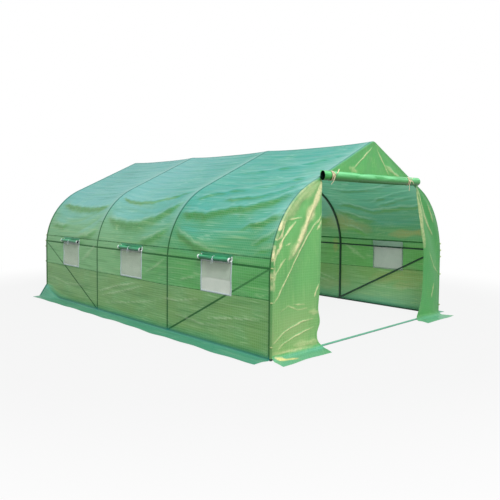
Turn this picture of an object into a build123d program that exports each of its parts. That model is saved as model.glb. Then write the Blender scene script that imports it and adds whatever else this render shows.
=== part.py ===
from build123d import *
import math
import os

# Walk-in polytunnel greenhouse: tube hoops joined by rails and braces, under a
# sewn film cover with ground skirts, net windows and a rolled-up front door.
# X runs across the tunnel, Y along it with the door at the -Y end, Z is up.
# All lengths are millimetres.

# The tunnel over its cover
tunnel_width = 3000.0
tunnel_length = 4500.0
ridge_height = 2000.0
bay_count = 3

# Outline of the cover in the XZ plane: upright side, round shoulder, straight slope
leg_height = 730.0
shoulder_radius = 877.0

# Steel tubes
hoop_diameter = 25.0
rail_diameter = 19.0
side_rail_height = 790.0
splice_share = 0.7
socket_wall = 1.7
spigot_length = 55.0
elbow_arm = 130.0
elbow_bend_radius = 70.0

# Braces with flattened ends
lug_width = 27.0
lug_thickness = 3.0
lug_length = 46.0
lug_hole_diameter = 7.0
flatten_length = 30.0
lug_ground_gap = 1.5

# Cover sheets
cover_thickness = 3.0
side_skirt_width = 200.0
end_skirt_width = 180.0

# Net windows, one in each bay of each long wall, a little nearer the door than its middle
window_width = 435.0
window_lead = 25.0
window_sill_height = 500.0
window_height = 360.0
window_hem = 15.0
net_thickness = 1.0
window_roll_diameter = 50.0
window_roll_overhang = 10.0
window_roll_drop = 35.0

# Doorway in the front end
door_width = 1700.0
door_roll_diameter = 92.0
door_roll_left_overhang = 20.0
door_roll_right_setback = 55.0
door_roll_rise = 8.0
left_tie_setback = 70.0
right_tie_setback = 285.0
tie_width = 18.0
tie_thickness = 1.5
flap_waist_height = 620.0
flap_waist_pull_share = 0.35
flap_foot_pull_share = 0.18

# Fits
seat_clearance = 0.3
overrun = 5.0

# Values worked out from the sizes above
half_width = tunnel_width / 2
half_length = tunnel_length / 2
inner_half_length = half_length - cover_thickness
hoop_radius = hoop_diameter / 2
rail_radius = rail_diameter / 2
socket_radius = hoop_radius - socket_wall
spigot_radius = socket_radius - seat_clearance
hoop_inset = cover_thickness + seat_clearance + hoop_radius
hoop_leg_x = half_width - hoop_inset
hoop_end_y = half_length - hoop_inset
bay_length = 2 * hoop_end_y / bay_count
hoop_ys = [-hoop_end_y + bay_length * n for n in range(bay_count + 1)]
bay_ys = [y + bay_length / 2 for y in hoop_ys[:-1]]
window_ys = [y - window_lead for y in bay_ys]

# The shoulder bend is centred on (-bend_centre_x, leg_height) on the left side. Bearings are
# degrees from +X about that centre, so the bend starts at 180 and turns down to roof_bearing.
bend_centre_x = half_width - shoulder_radius
ridge_rise = ridge_height - leg_height
ridge_distance = math.hypot(bend_centre_x, ridge_rise)
ridge_bearing = math.degrees(math.atan2(ridge_rise, bend_centre_x))
roof_bearing = ridge_bearing + math.degrees(math.acos(shoulder_radius / ridge_distance))
roof_slope = roof_bearing - 90
splice_bearing = 180 - splice_share * (180 - roof_bearing)
slope_cos = math.cos(math.radians(roof_slope))
slope_sin = math.sin(math.radians(roof_slope))
slope_tan = slope_sin / slope_cos


def side_x(height, inset):
    """Distance from the middle plane to the upright side or bend at this height."""
    rise = max(height - leg_height, 0)
    return bend_centre_x + math.sqrt((shoulder_radius - inset) ** 2 - rise**2)


def ridge_point(inset):
    """Ridge of the outline moved in by inset."""
    return (0, ridge_height - inset / slope_cos)


def slope_point(inset, reach):
    """Point on the left roof slope, reach away from the ridge along the slope."""
    x, z = ridge_point(inset)
    return (x - reach * slope_cos, z - reach * slope_sin)


def bend_arc(inset, start, end):
    """Arc of the left shoulder between two bearings, on the outline moved in by inset."""
    return CenterArc((-bend_centre_x, leg_height), shoulder_radius - inset, start, end - start)


def top_height(x):
    """Height of the cover over a point this far from the middle plane."""
    if x < bend_centre_x - shoulder_radius * math.cos(math.radians(roof_bearing)):
        return ridge_height - x * slope_tan
    return leg_height + math.sqrt(shoulder_radius**2 - (x - bend_centre_x) ** 2)


def half_outline(inset):
    """Left half of the outline moved in by inset, open, from the ground to the ridge."""
    Line((-half_width + inset, 0), (-half_width + inset, leg_height))
    arc = bend_arc(inset, 180, roof_bearing)
    Line(arc @ 1, ridge_point(inset))


def side_outline(outer_inset, inner_inset):
    """Closed outline of a sheet over the whole left side, from the ground to the ridge."""
    half_outline(outer_inset)
    half_outline(inner_inset)
    Line((-half_width + outer_inset, 0), (-half_width + inner_inset, 0))
    Line(ridge_point(outer_inset), ridge_point(inner_inset))


def end_outline():
    """Closed outline of the left half of an end of the cover."""
    half_outline(0)
    Polyline(ridge_point(0), (0, 0), (-half_width, 0))


def keep_between(low, high):
    """Keeps the left half of the sketch that lies between two heights."""
    with Locations((-half_width, low)):
        Rectangle(tunnel_width, high - low, align=(Align.CENTER, Align.MIN), mode=Mode.INTERSECT)


def save(piece, label):
    """Names the piece and writes its file."""
    piece.part.label = label
    export_step(piece.part, os.path.join("parts", label + ".step"))


os.makedirs("parts", exist_ok=True)

# Hoops. Each side tube ends in a reduced spigot part of the way round the bend. The roof tube
# has a socket at each end, for that spigot and for one of the ridge elbow.
spigot_angle = math.degrees(spigot_length / (shoulder_radius - hoop_inset))
socket_angle = math.degrees((spigot_length + seat_clearance) / (shoulder_radius - hoop_inset))
splice_gap_angle = math.degrees(seat_clearance / (shoulder_radius - hoop_inset))

for number, y in enumerate(hoop_ys, start=1):
    hoop_plane = Plane.XZ.offset(-y)
    with BuildPart() as legs:
        with BuildLine(hoop_plane) as leg_line:
            Line((-hoop_leg_x, 0), (-hoop_leg_x, leg_height))
            bend_arc(hoop_inset, 180, splice_bearing)
        with BuildSketch(Plane(leg_line.line ^ 0)):
            Circle(hoop_radius)
        sweep(path=leg_line.line)
        with BuildLine(hoop_plane) as spigot_line:
            bend_arc(hoop_inset, splice_bearing, splice_bearing - spigot_angle)
        with BuildSketch(Plane(spigot_line.line ^ 0)):
            Circle(spigot_radius)
        sweep(path=spigot_line.line)
        mirror(about=Plane.YZ)
    save(legs, f"hoop_{number}_legs")

    with BuildPart() as rafters:
        with BuildLine(hoop_plane) as rafter_line:
            upper_bend = bend_arc(hoop_inset, splice_bearing - splice_gap_angle, roof_bearing)
            Line(upper_bend @ 1, slope_point(hoop_inset, elbow_arm + seat_clearance))
        with BuildSketch(Plane(rafter_line.line ^ 0)):
            Circle(hoop_radius)
        sweep(path=rafter_line.line)
        with BuildLine(hoop_plane) as low_socket:
            bend_arc(hoop_inset, splice_bearing, splice_bearing - socket_angle)
        with BuildSketch(Plane(low_socket.line ^ 0)):
            Circle(socket_radius)
        sweep(path=low_socket.line, mode=Mode.SUBTRACT)
        with BuildLine(hoop_plane) as high_socket:
            Line(
                slope_point(hoop_inset, elbow_arm),
                slope_point(hoop_inset, elbow_arm + spigot_length + seat_clearance),
            )
        with BuildSketch(Plane(high_socket.line ^ 0)):
            Circle(socket_radius)
        sweep(path=high_socket.line, mode=Mode.SUBTRACT)
        mirror(about=Plane.YZ)
    save(rafters, f"hoop_{number}_rafters")

# Ridge elbows, one on each hoop
elbow_left = slope_point(hoop_inset, elbow_arm)
spigot_left = slope_point(hoop_inset, elbow_arm + spigot_length)
elbow_right = (-elbow_left[0], elbow_left[1])
spigot_right = (-spigot_left[0], spigot_left[1])
with BuildPart() as elbows:
    for y in hoop_ys:
        hoop_plane = Plane.XZ.offset(-y)
        with BuildLine(hoop_plane) as elbow_line:
            FilletPolyline(elbow_left, ridge_point(hoop_inset), elbow_right, radius=elbow_bend_radius)
        with BuildSketch(Plane(elbow_line.line ^ 0)):
            Circle(hoop_radius)
        sweep(path=elbow_line.line)
        for start, end in ((elbow_left, spigot_left), (elbow_right, spigot_right)):
            with BuildLine(hoop_plane) as arm_line:
                Line(start, end)
            with BuildSketch(Plane(arm_line.line ^ 0)):
                Circle(spigot_radius)
            sweep(path=arm_line.line)
save(elbows, "ridge_elbows")

# Straight rails. Each is one tube per bay, meeting end to end behind the hoops.
rail_lengths = [bay_length - seat_clearance] * bay_count
rail_lengths[0] += hoop_radius
rail_lengths[-1] += hoop_radius
rail_middles = [y for y in bay_ys]
rail_middles[0] -= hoop_radius / 2
rail_middles[-1] += hoop_radius / 2
rail_reach = hoop_diameter + rail_radius + seat_clearance + cover_thickness + seat_clearance
side_rail_x = side_x(side_rail_height, rail_reach)
base_rail_x = side_x(0, rail_reach)
elbow_drop = elbow_bend_radius * (1 / slope_cos - 1)
ridge_pole_z = ridge_point(hoop_inset)[1] - elbow_drop - hoop_radius - seat_clearance - rail_radius

for label, x, z in (
    ("ridge_pole", 0, ridge_pole_z),
    ("left_side_rail", -side_rail_x, side_rail_height),
    ("right_side_rail", side_rail_x, side_rail_height),
    ("left_base_rail", -base_rail_x, rail_radius),
    ("right_base_rail", base_rail_x, rail_radius),
):
    with BuildPart() as rail:
        for middle, length in zip(rail_middles, rail_lengths):
            with BuildSketch(Plane.XZ.offset(-middle)):
                with Locations((x, z)):
                    Circle(rail_radius)
            extrude(amount=length / 2, both=True)
    save(rail, label)

# Bars on the ground across the two ends, between the base rails
end_bar_half = base_rail_x - rail_radius - seat_clearance
for label, y in (("front_threshold_bar", -hoop_end_y), ("back_base_bar", hoop_end_y)):
    with BuildPart() as end_bar:
        with BuildSketch(Plane.YZ):
            with Locations((y, rail_radius)):
                Circle(rail_radius)
        extrude(amount=end_bar_half, both=True)
    save(end_bar, label)

# Braces in the end bays, from the foot of the next hoop up to the rail on the end hoop. Their
# flattened ends lie against the inside of the base rail and of the side rail.
brace_x = min(side_rail_x, base_rail_x) - rail_radius - seat_clearance - lug_thickness / 2
brace_foot = Vector(-brace_x, hoop_ys[1], lug_width / 2 + lug_ground_gap)
brace_head_y = lug_width / 2 + seat_clearance - inner_half_length
brace_head = Vector(-brace_x, brace_head_y, side_rail_height)
brace_way = (brace_head - brace_foot).normalized()
brace_span = (brace_head - brace_foot).length
tube_start = lug_length + flatten_length
lug_plane = Plane(brace_foot, x_dir=brace_way, z_dir=(1, 0, 0)).offset(-lug_thickness / 2)

with BuildPart() as left_braces:
    with BuildSketch(Plane(brace_foot + brace_way * tube_start, x_dir=(1, 0, 0), z_dir=brace_way)):
        Circle(rail_radius)
    extrude(amount=brace_span - 2 * tube_start)
    for place, way in ((brace_foot, brace_way), (brace_head, brace_way * -1)):
        with BuildSketch(Plane(place + way * lug_length, x_dir=(1, 0, 0), z_dir=way)):
            Rectangle(lug_thickness, lug_width)
        with BuildSketch(Plane(place + way * tube_start, x_dir=(1, 0, 0), z_dir=way)):
            Circle(rail_radius)
        loft()
    for bolt, side in ((0, 1), (brace_span, -1)):
        with BuildSketch(lug_plane):
            with Locations((bolt + side * lug_length / 2, 0)):
                Rectangle(lug_length, lug_width)
            with Locations((bolt, 0)):
                Circle(lug_width / 2)
                Circle(lug_hole_diameter / 2, mode=Mode.SUBTRACT)
        extrude(amount=lug_thickness)
    mirror(about=Plane.XZ)
save(left_braces, "left_braces")

with BuildPart() as right_braces:
    mirror(left_braces.part, about=Plane.YZ)
save(right_braces, "right_braces")

# Cover along the two sides: roof with shoulder, window band and lower wall
window_top_height = window_sill_height + window_height
lower_seam_height = window_sill_height - window_hem
upper_seam_height = window_top_height + window_hem
with BuildPart() as left_roof:
    with BuildSketch(Plane.XZ):
        with BuildLine():
            side_outline(0, cover_thickness)
        make_face()
        keep_between(upper_seam_height, ridge_height)
    extrude(amount=inner_half_length, both=True)
save(left_roof, "left_roof_sheet")

with BuildPart() as left_band:
    with BuildSketch(Plane.XZ):
        with BuildLine():
            side_outline(0, cover_thickness)
        make_face()
        keep_between(lower_seam_height, upper_seam_height)
    extrude(amount=inner_half_length, both=True)
    with BuildSketch(Plane.YZ):
        with Locations(*[(y, window_sill_height + window_height / 2) for y in window_ys]):
            Rectangle(window_width, window_height)
    extrude(amount=-tunnel_width, mode=Mode.SUBTRACT)
save(left_band, "left_window_band")

with BuildPart() as left_wall:
    with BuildSketch(Plane.XZ):
        with BuildLine():
            side_outline(0, cover_thickness)
        make_face()
        keep_between(cover_thickness, lower_seam_height)
    extrude(amount=inner_half_length, both=True)
save(left_wall, "left_wall_sheet")

with BuildPart() as left_skirt:
    with BuildSketch(Plane.XY):
        with Locations((cover_thickness - half_width, 0)):
            Rectangle(
                side_skirt_width + cover_thickness, tunnel_length, align=(Align.MAX, Align.CENTER)
            )
    extrude(amount=cover_thickness)
save(left_skirt, "left_skirt")

for label, left_piece in (
    ("right_roof_sheet", left_roof),
    ("right_window_band", left_band),
    ("right_wall_sheet", left_wall),
    ("right_skirt", left_skirt),
):
    with BuildPart() as right_piece:
        mirror(left_piece.part, about=Plane.YZ)
    save(right_piece, label)

# Net windows and the rolled flaps above them
net_inset = (cover_thickness - net_thickness) / 2
net_half = window_width / 2 - seat_clearance
window_roll_radius = window_roll_diameter / 2
window_roll_half = window_width / 2 + window_roll_overhang
window_roll_height = window_top_height - window_roll_drop
window_roll_x = side_x(window_roll_height, -window_roll_radius - seat_clearance)
for number, y in enumerate(window_ys, start=1):
    with BuildPart() as left_net:
        with BuildSketch(Plane.XZ.offset(-y)):
            with BuildLine():
                side_outline(net_inset, net_inset + net_thickness)
            make_face()
            keep_between(window_sill_height + seat_clearance, window_top_height - seat_clearance)
        extrude(amount=net_half, both=True)
    save(left_net, f"left_window_{number}_net")

    with BuildPart() as right_net:
        mirror(left_net.part, about=Plane.YZ)
    save(right_net, f"right_window_{number}_net")

    for side, x in (("left", -window_roll_x), ("right", window_roll_x)):
        with BuildPart() as window_roll:
            with BuildSketch(Plane.XZ.offset(-y)):
                with Locations((x, window_roll_height)):
                    Circle(window_roll_radius)
            extrude(amount=window_roll_half, both=True)
        save(window_roll, f"{side}_window_{number}_roll")

# Ends of the cover. The front is a gable over two flaps, the back is one closed sheet.
door_half = door_width / 2
door_top = top_height(door_half)
with BuildPart() as front_gable:
    with BuildSketch(Plane.XZ.offset(half_length)):
        with BuildLine():
            end_outline()
        make_face()
        keep_between(door_top, ridge_height)
        mirror(about=Plane.YZ)
    extrude(amount=-cover_thickness)
save(front_gable, "front_gable_sheet")

with BuildPart() as front_left_flap:
    with BuildSketch(Plane.XZ.offset(half_length)):
        with BuildLine():
            end_outline()
        make_face()
        keep_between(cover_thickness, ridge_height)
        with Locations((-door_half, 0)):
            Rectangle(door_half, ridge_height, align=(Align.MIN, Align.MIN), mode=Mode.SUBTRACT)
    extrude(amount=-cover_thickness)
save(front_left_flap, "front_left_flap")

# The right flap is the same sheet with its inner edge drawn aside
flap_width = half_width - door_half
waist_x = door_half + flap_waist_pull_share * flap_width
right_foot_x = door_half + flap_foot_pull_share * flap_width
with BuildPart() as front_right_flap:
    mirror(front_left_flap.part, about=Plane.YZ)
    with BuildSketch(Plane.XZ.offset(half_length + overrun)):
        with BuildLine():
            edge = Spline(
                (door_half, door_top),
                (waist_x, flap_waist_height),
                (right_foot_x, 0),
            )
            Polyline(edge @ 1, (0, 0), (0, door_top), edge @ 0)
        make_face()
    extrude(amount=-cover_thickness - 2 * overrun, mode=Mode.SUBTRACT)
save(front_right_flap, "front_right_flap")

with BuildPart() as back_sheet:
    with BuildSketch(Plane.XZ.offset(-half_length)):
        with BuildLine():
            end_outline()
        make_face()
        keep_between(cover_thickness, ridge_height)
        mirror(about=Plane.YZ)
    extrude(amount=cover_thickness)
save(back_sheet, "back_sheet")

# Skirts of the two ends
inner_half_width = half_width - cover_thickness
end_skirt_depth = end_skirt_width + cover_thickness
for label, start, end, y, align in (
    ("front_left_skirt", -inner_half_width, -door_half, -inner_half_length, Align.MAX),
    ("front_right_skirt", right_foot_x, inner_half_width, -inner_half_length, Align.MAX),
    ("back_skirt", -inner_half_width, inner_half_width, inner_half_length, Align.MIN),
):
    with BuildPart() as end_skirt:
        with BuildSketch(Plane.XY):
            with Locations(((start + end) / 2, y)):
                Rectangle(end - start, end_skirt_depth, align=(Align.CENTER, align))
        extrude(amount=cover_thickness)
    save(end_skirt, label)

# Rolled-up door, held under the gable by two ties
door_roll_radius = door_roll_diameter / 2
door_roll_y = -half_length - door_roll_radius - seat_clearance
door_roll_z = door_top + door_roll_rise
door_roll_start = -door_half - door_roll_left_overhang
door_roll_end = door_half - door_roll_right_setback
with BuildPart() as door_roll:
    with BuildSketch(Plane.YZ.offset(door_roll_start)):
        with Locations((door_roll_y, door_roll_z)):
            Circle(door_roll_radius)
    extrude(amount=door_roll_end - door_roll_start)
save(door_roll, "door_roll")

tie_bore = door_roll_radius + seat_clearance
with BuildPart() as door_ties:
    for x in (left_tie_setback - door_half, door_half - right_tie_setback):
        with BuildSketch(Plane.YZ.offset(x)):
            with Locations((door_roll_y, door_roll_z)):
                Circle(tie_bore + tie_thickness)
                Circle(tie_bore, mode=Mode.SUBTRACT)
        extrude(amount=tie_width / 2, both=True)
    with BuildSketch(Plane.XZ.offset(half_length + seat_clearance)):
        Rectangle(tunnel_width, 2 * ridge_height)
    extrude(amount=-tunnel_length, mode=Mode.SUBTRACT)
save(door_ties, "door_ties")
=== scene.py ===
import functools
import math

import bmesh
import bpy
import numpy as np
from mathutils import Matrix


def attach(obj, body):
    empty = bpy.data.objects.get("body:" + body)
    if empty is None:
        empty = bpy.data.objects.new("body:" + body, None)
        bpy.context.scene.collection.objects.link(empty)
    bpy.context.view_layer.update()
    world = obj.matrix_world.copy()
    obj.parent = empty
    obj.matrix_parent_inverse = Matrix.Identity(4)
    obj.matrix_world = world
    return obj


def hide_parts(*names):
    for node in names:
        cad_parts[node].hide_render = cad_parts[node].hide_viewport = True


# Polytunnel greenhouse: the tube frame comes from the CAD model, the film cover is made here.
# Metres, X across, Y along with the door at -Y, Z up.

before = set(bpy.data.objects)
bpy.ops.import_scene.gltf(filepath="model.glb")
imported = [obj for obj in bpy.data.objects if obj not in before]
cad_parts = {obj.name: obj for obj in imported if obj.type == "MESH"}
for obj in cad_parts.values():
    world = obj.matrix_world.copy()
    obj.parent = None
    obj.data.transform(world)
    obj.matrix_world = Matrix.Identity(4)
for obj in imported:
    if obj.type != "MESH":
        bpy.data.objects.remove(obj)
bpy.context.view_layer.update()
scene = bpy.context.scene
scene.view_settings.view_transform = "Standard"

# Camera at the photograph's viewpoint, about head height, off the front left corner
cameraSet = dict(place=(-4.757, -5.371, 1.325), yaw=44.43, pitch=-2.77, roll=0.5, lens=38.78, shift=(-0.0104, -0.0376))
yaw, pitch, roll = (math.radians(cameraSet[angle]) for angle in ("yaw", "pitch", "roll"))
ahead = np.array([math.sin(yaw) * math.cos(pitch), math.cos(yaw) * math.cos(pitch), math.sin(pitch)])
level = np.array([math.cos(yaw), -math.sin(yaw), 0.0])
upward = np.cross(level, ahead)
aim = np.eye(4)
aim[:3, 0] = math.cos(roll) * level + math.sin(roll) * upward
aim[:3, 1] = math.cos(roll) * upward - math.sin(roll) * level
aim[:3, 2] = -ahead
aim[:3, 3] = cameraSet["place"]
camera = bpy.data.objects.new("camera", bpy.data.cameras.new("camera"))
camera.data.lens = cameraSet["lens"]
camera.data.sensor_width = 36.0
camera.data.shift_x, camera.data.shift_y = cameraSet["shift"]
camera.matrix_world = Matrix(aim.tolist())
scene.collection.objects.link(camera)
scene.camera = camera
print("camera set")


# sRGB hex to the linear colour that the nodes take
def tone(hexCode):
    parts = [int(hexCode[k : k + 2], 16) / 255 for k in (1, 3, 5)]
    return [p / 12.92 if p <= 0.04045 else ((p + 0.055) / 1.055) ** 2.4 for p in parts] + [1.0]


# One node with its settings. Its inputs, in order or by name, are links, plain values or hex colours, and None leaves
# one as it is. Gives the output asked for.
def addNode(tree, kind, inputs=(), output=0, **settings):
    node = tree.nodes.new("ShaderNode" + kind)
    for key, value in settings.items():
        setattr(node, key, value)
    for key, value in inputs.items() if isinstance(inputs, dict) else enumerate(inputs):
        if isinstance(value, bpy.types.NodeSocket):
            tree.links.new(value, node.inputs[key])
        elif value is not None:
            node.inputs[key].default_value = tone(value) if isinstance(value, str) else value
    return node.outputs[output] if len(node.outputs) else None


# Settings that come up again and again
smooth = dict(interpolation_type="SMOOTHSTEP")
blend = dict(output=2, data_type="RGBA")
times = dict(operation="MULTIPLY")
most = dict(operation="MAXIMUM")


# A new material, and addNode for its tree
def newMaterial(name):
    material = bpy.data.materials.new(name)
    material.use_nodes = True
    material.node_tree.nodes.clear()
    return material, functools.partial(addNode, material.node_tree)


# Quads of a grid counted row by row; their normal is row direction x column direction
def gridFaces(rows, columns, closeRows=False, closeColumns=False, flip=False):
    r, c = np.meshgrid(np.arange(rows - (not closeRows)), np.arange(columns - (not closeColumns)), indexing="ij")
    down, along = (r + 1) % rows, (c + 1) % columns
    quads = np.stack([r * columns + c, down * columns + c, down * columns + along, r * columns + along], -1)
    return quads.reshape(-1, 4)[:, ::-1] if flip else quads.reshape(-1, 4)


# Several point and quad sets stacked into one
def joinParts(parts):
    starts = np.cumsum([0] + [len(points) for points, quads in parts[:-1]])
    quads = np.concatenate([quads + start for (points, quads), start in zip(parts, starts)])
    return np.concatenate([points for points, quads in parts]), quads


# One mesh object at the origin from arrays: loose points dropped, doubles welded, smooth, riding on the body
def makePiece(name, points, quads, finish, slotName, uv=None, marks=None, replaced=()):
    used, index = np.unique(quads, return_inverse=True)
    quads = index.reshape(-1, 4).astype(np.int32)
    mesh = bpy.data.meshes.new(name)
    mesh.vertices.add(len(used))
    mesh.vertices.foreach_set("co", points.reshape(-1, 3)[used].astype(np.float32).ravel())
    mesh.loops.add(quads.size)
    mesh.loops.foreach_set("vertex_index", quads.ravel())
    mesh.polygons.add(len(quads))
    mesh.polygons.foreach_set("loop_start", np.arange(0, quads.size, 4, dtype=np.int32))
    mesh.polygons.foreach_set("use_smooth", np.ones(len(quads), bool))
    mesh.update(calc_edges=True)
    if uv is not None:
        layer = mesh.uv_layers.new(name="cut")
        layer.data.foreach_set("uv", uv.reshape(-1, 2)[used][quads.ravel()].astype(np.float32).ravel())
    for key, values in (marks or {}).items():
        layer = mesh.attributes.new(key, "FLOAT", "POINT")
        layer.data.foreach_set("value", values.ravel()[used].astype(np.float32))
    work = bmesh.new()
    work.from_mesh(mesh)
    bmesh.ops.remove_doubles(work, verts=work.verts, dist=2e-5)
    work.to_mesh(mesh)
    work.free()
    mesh.materials.append(finish)
    piece = bpy.data.objects.new(name, mesh)
    scene.collection.objects.link(piece)
    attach(piece, "root")
    if replaced:
        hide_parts(*replaced)
    return piece


# Numbers from the first break to the last, about step apart, that land on every break
def stations(breaks, step):
    spans = zip(breaks[:-1], breaks[1:])
    runs = [np.linspace(a, b, max(2, round((b - a) / step) + 1))[:-1] for a, b in spans]
    return np.concatenate(runs + [[breaks[-1]]])


# Smooth line through keys: cubic pieces whose slope at a key is that of its two neighbours
def smoothLine(keys, values, at):
    keys, values = np.asarray(keys, float), np.asarray(values, float)
    slopes = np.gradient(values, keys)
    k = np.clip(np.searchsorted(keys, at) - 1, 0, len(keys) - 2)
    width = keys[k + 1] - keys[k]
    f = np.clip((at - keys[k]) / width, 0, 1)
    return (
        values[k] * (1 + 2 * f) * (1 - f) ** 2
        + slopes[k] * width * f * (1 - f) ** 2
        + values[k + 1] * f * f * (3 - 2 * f)
        - slopes[k + 1] * width * f * f * (1 - f)
    )


# Smooth path of count points through keys in space
def smoothPath(keys, count):
    keys = np.asarray(keys, float)
    at = np.linspace(0, len(keys) - 1, count)
    return np.stack([smoothLine(np.arange(len(keys)), keys[:, k], at) for k in range(3)], -1)


# 0 below low, 1 above high, eased between
def ease(low, high, at):
    f = np.clip((at - low) / (high - low), 0, 1)
    return f * f * (3 - 2 * f)


# Rows of bumps 1 high and as narrow as sharp says, one each time turns grows by 1
def crests(turns, sharp):
    return np.exp(sharp * (np.cos(2 * math.pi * turns) - 1))


# A flat tape: an ellipse width x thick carried along a path, its width lying along across
def tapeAlong(path, across, width, thick, closed=False, sides=8):
    path = np.asarray(path, float)
    across = np.broadcast_to(np.asarray(across, float), path.shape)
    ahead = np.roll(path, -1, 0) - np.roll(path, 1, 0) if closed else np.gradient(path, axis=0)
    ahead = ahead / np.linalg.norm(ahead, axis=1, keepdims=True)
    across = across - ahead * np.sum(across * ahead, 1, keepdims=True)
    across = across / np.linalg.norm(across, axis=1, keepdims=True)
    outward = np.cross(ahead, across)
    turn = np.linspace(0, 2 * math.pi, sides, endpoint=False)
    shrink = np.ones(len(path))
    if not closed:  # the ends close to a line of no size
        path, across, outward = (np.pad(a, ((1, 1), (0, 0)), mode="edge") for a in (path, across, outward))
        shrink = np.pad(shrink, 1)
    points = (
        path[:, None]
        + across[:, None] * (np.cos(turn)[None, :, None] * width / 2 * shrink[:, None, None])
        + outward[:, None] * (np.sin(turn)[None, :, None] * thick / 2 * shrink[:, None, None])
    )
    return points.reshape(-1, 3), gridFaces(len(path), sides, closeRows=closed, closeColumns=True)


# Turned shape: a profile of radius and height spun round an axis through base
def turned(profile, base, axis, sides=14):
    profile, axis = np.asarray(profile, float), np.asarray(axis, float)
    side = np.cross(axis, [0.31, 0.72, 0.62])
    side = side / np.linalg.norm(side)
    third = np.cross(axis, side)
    turn = np.linspace(0, 2 * math.pi, sides, endpoint=False)
    ring = np.cos(turn)[:, None] * side + np.sin(turn)[:, None] * third
    points = np.asarray(base, float) + profile[:, None, :1] * ring[None] + profile[:, None, 1:] * axis
    return points.reshape(-1, 3), gridFaces(len(profile), sides, closeColumns=True, flip=True)


# Share of a bump at each (x, z): nearest distance to a drawn line that tapers to its ends, faded along it; the
# paleness, painted light along the line (a highlight on a crease, a warm patch in warmth), has a flat top, combed into
# strands where it is broad. Gives (height, paleness)
def creaseField(x, z, creases, unrest=0.0):
    height, paintedLight = np.zeros_like(x), np.zeros_like(x)
    shakenX = x + unrest * (np.sin(43 * z + 17 * x) + 0.6 * np.sin(101 * z - 31 * x))
    x, z = shakenX, z + unrest * np.sin(37 * x + 29 * z)
    for line, width, rise, strength in creases:
        line = np.asarray(line, float)
        lengths = np.concatenate([[0], np.cumsum(np.hypot(*np.diff(line, axis=0).T))])
        nearest, place = np.full(x.shape, 9.0), np.zeros_like(x)
        for a, b, start, end in zip(line[:-1], line[1:], lengths[:-1], lengths[1:]):
            f = np.clip(((x - a[0]) * (b[0] - a[0]) + (z - a[1]) * (b[1] - a[1])) / (end - start) ** 2, 0, 1)
            gap = np.hypot(x - a[0] - f * (b[0] - a[0]), z - a[1] - f * (b[1] - a[1]))
            place = np.where(gap < nearest, (start + f * (end - start)) / lengths[-1], place)
            nearest = np.minimum(gap, nearest)
        fade = np.sqrt(np.clip(np.sin(math.pi * (0.06 + 0.88 * place)), 0, 1))
        taper = (0.5 + 0.5 * np.sqrt(np.sin(math.pi * place))) * (0.85 + 0.25 * np.sin(11 * place + 500 * width))
        off = nearest / (width * taper)
        strands = 0.5 + 0.5 * np.cos(2 * math.pi * nearest / 0.017 + 9 * place)
        combed = 1 - (unrest > 0) * 0.45 * np.clip(width / 0.03 - 0.5, 0, 1) * strands
        height += rise * fade * np.exp(-(off**2))
        paintedLight = np.maximum(paintedLight, strength * fade * combed * np.exp(-(off**4)))
    return height, paintedLight


# The tunnel's outline over the film, and the hoops under it
tunnel = dict(
    halfWidth=1.5, ridge=2.0, leg=0.73, bend=0.877, ridgeBend=0.0858, hoopInset=0.0158, halfLength=2.25, bays=3
)
leg, bend, ridgeBend, hoopInset = (tunnel[key] for key in ("leg", "bend", "ridgeBend", "hoopInset"))
bendX = tunnel["halfWidth"] - bend
ridgeRise = tunnel["ridge"] - leg
ridgeReach = math.hypot(bendX, ridgeRise)
slope = math.atan2(ridgeRise, bendX) + math.acos(bend / ridgeReach) - math.pi / 2
bendTurn = math.pi / 2 - slope
bendEnd = leg + bend * bendTurn
slopeRun = math.sqrt(ridgeReach**2 - bend**2) - ridgeBend * math.tan(slope)
ridgeStart = bendEnd + slopeRun
halfGirth = ridgeStart + ridgeBend * slope
hoopEnd = tunnel["halfLength"] - hoopInset
bay = 2 * hoopEnd / tunnel["bays"]
hoopYs = -hoopEnd + bay * np.arange(tunnel["bays"] + 1)
bayYs = hoopYs[:-1] + bay / 2
windowYs = bayYs - 0.025  # windows sit a little nearer the door than the middle of a bay
filmGap = 0.0155  # hoop axis to film


# Outline by girth from the left foot: upright, shoulder arc, straight slope, small arc over the ridge, then mirrored.
# Gives x, z and the outward normal, moved in by inset.
def outline(girth, inset=0.0):
    girth = np.asarray(girth, float)
    far = girth > halfGirth
    g = np.where(far, 2 * halfGirth - girth, girth)
    first = math.pi - np.clip((g - leg) / bend, 0, bendTurn)
    last = first - np.clip((g - ridgeStart) / ridgeBend, 0, slope)
    run = np.clip(g - bendEnd, 0, slopeRun)
    x = -bendX + bend * np.cos(first) + run * math.cos(slope) + ridgeBend * (np.cos(last) - np.cos(first))
    z = leg + bend * np.sin(first) + run * math.sin(slope) + ridgeBend * (np.sin(last) - np.sin(first))
    z = z + np.minimum(g - leg, 0)
    nx, nz = np.cos(last), np.sin(last)
    mirror = np.where(far, -1.0, 1.0)
    return (x - inset * nx) * mirror, z - inset * nz, nx * mirror, nz


# Film foot by height up the sheet: upright above the fillet, a quarter circle, then flat on the ground.
# Gives the run outwards and the height.
def footCurve(h, fillet):
    turn = np.clip((fillet - h) / fillet, 0, math.pi / 2)
    flat = np.clip(fillet * (1 - math.pi / 2) - h, 0, None)
    return fillet * (1 - np.cos(turn)) + flat, np.where(h > fillet, h, fillet * (1 - np.sin(turn)))
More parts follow.
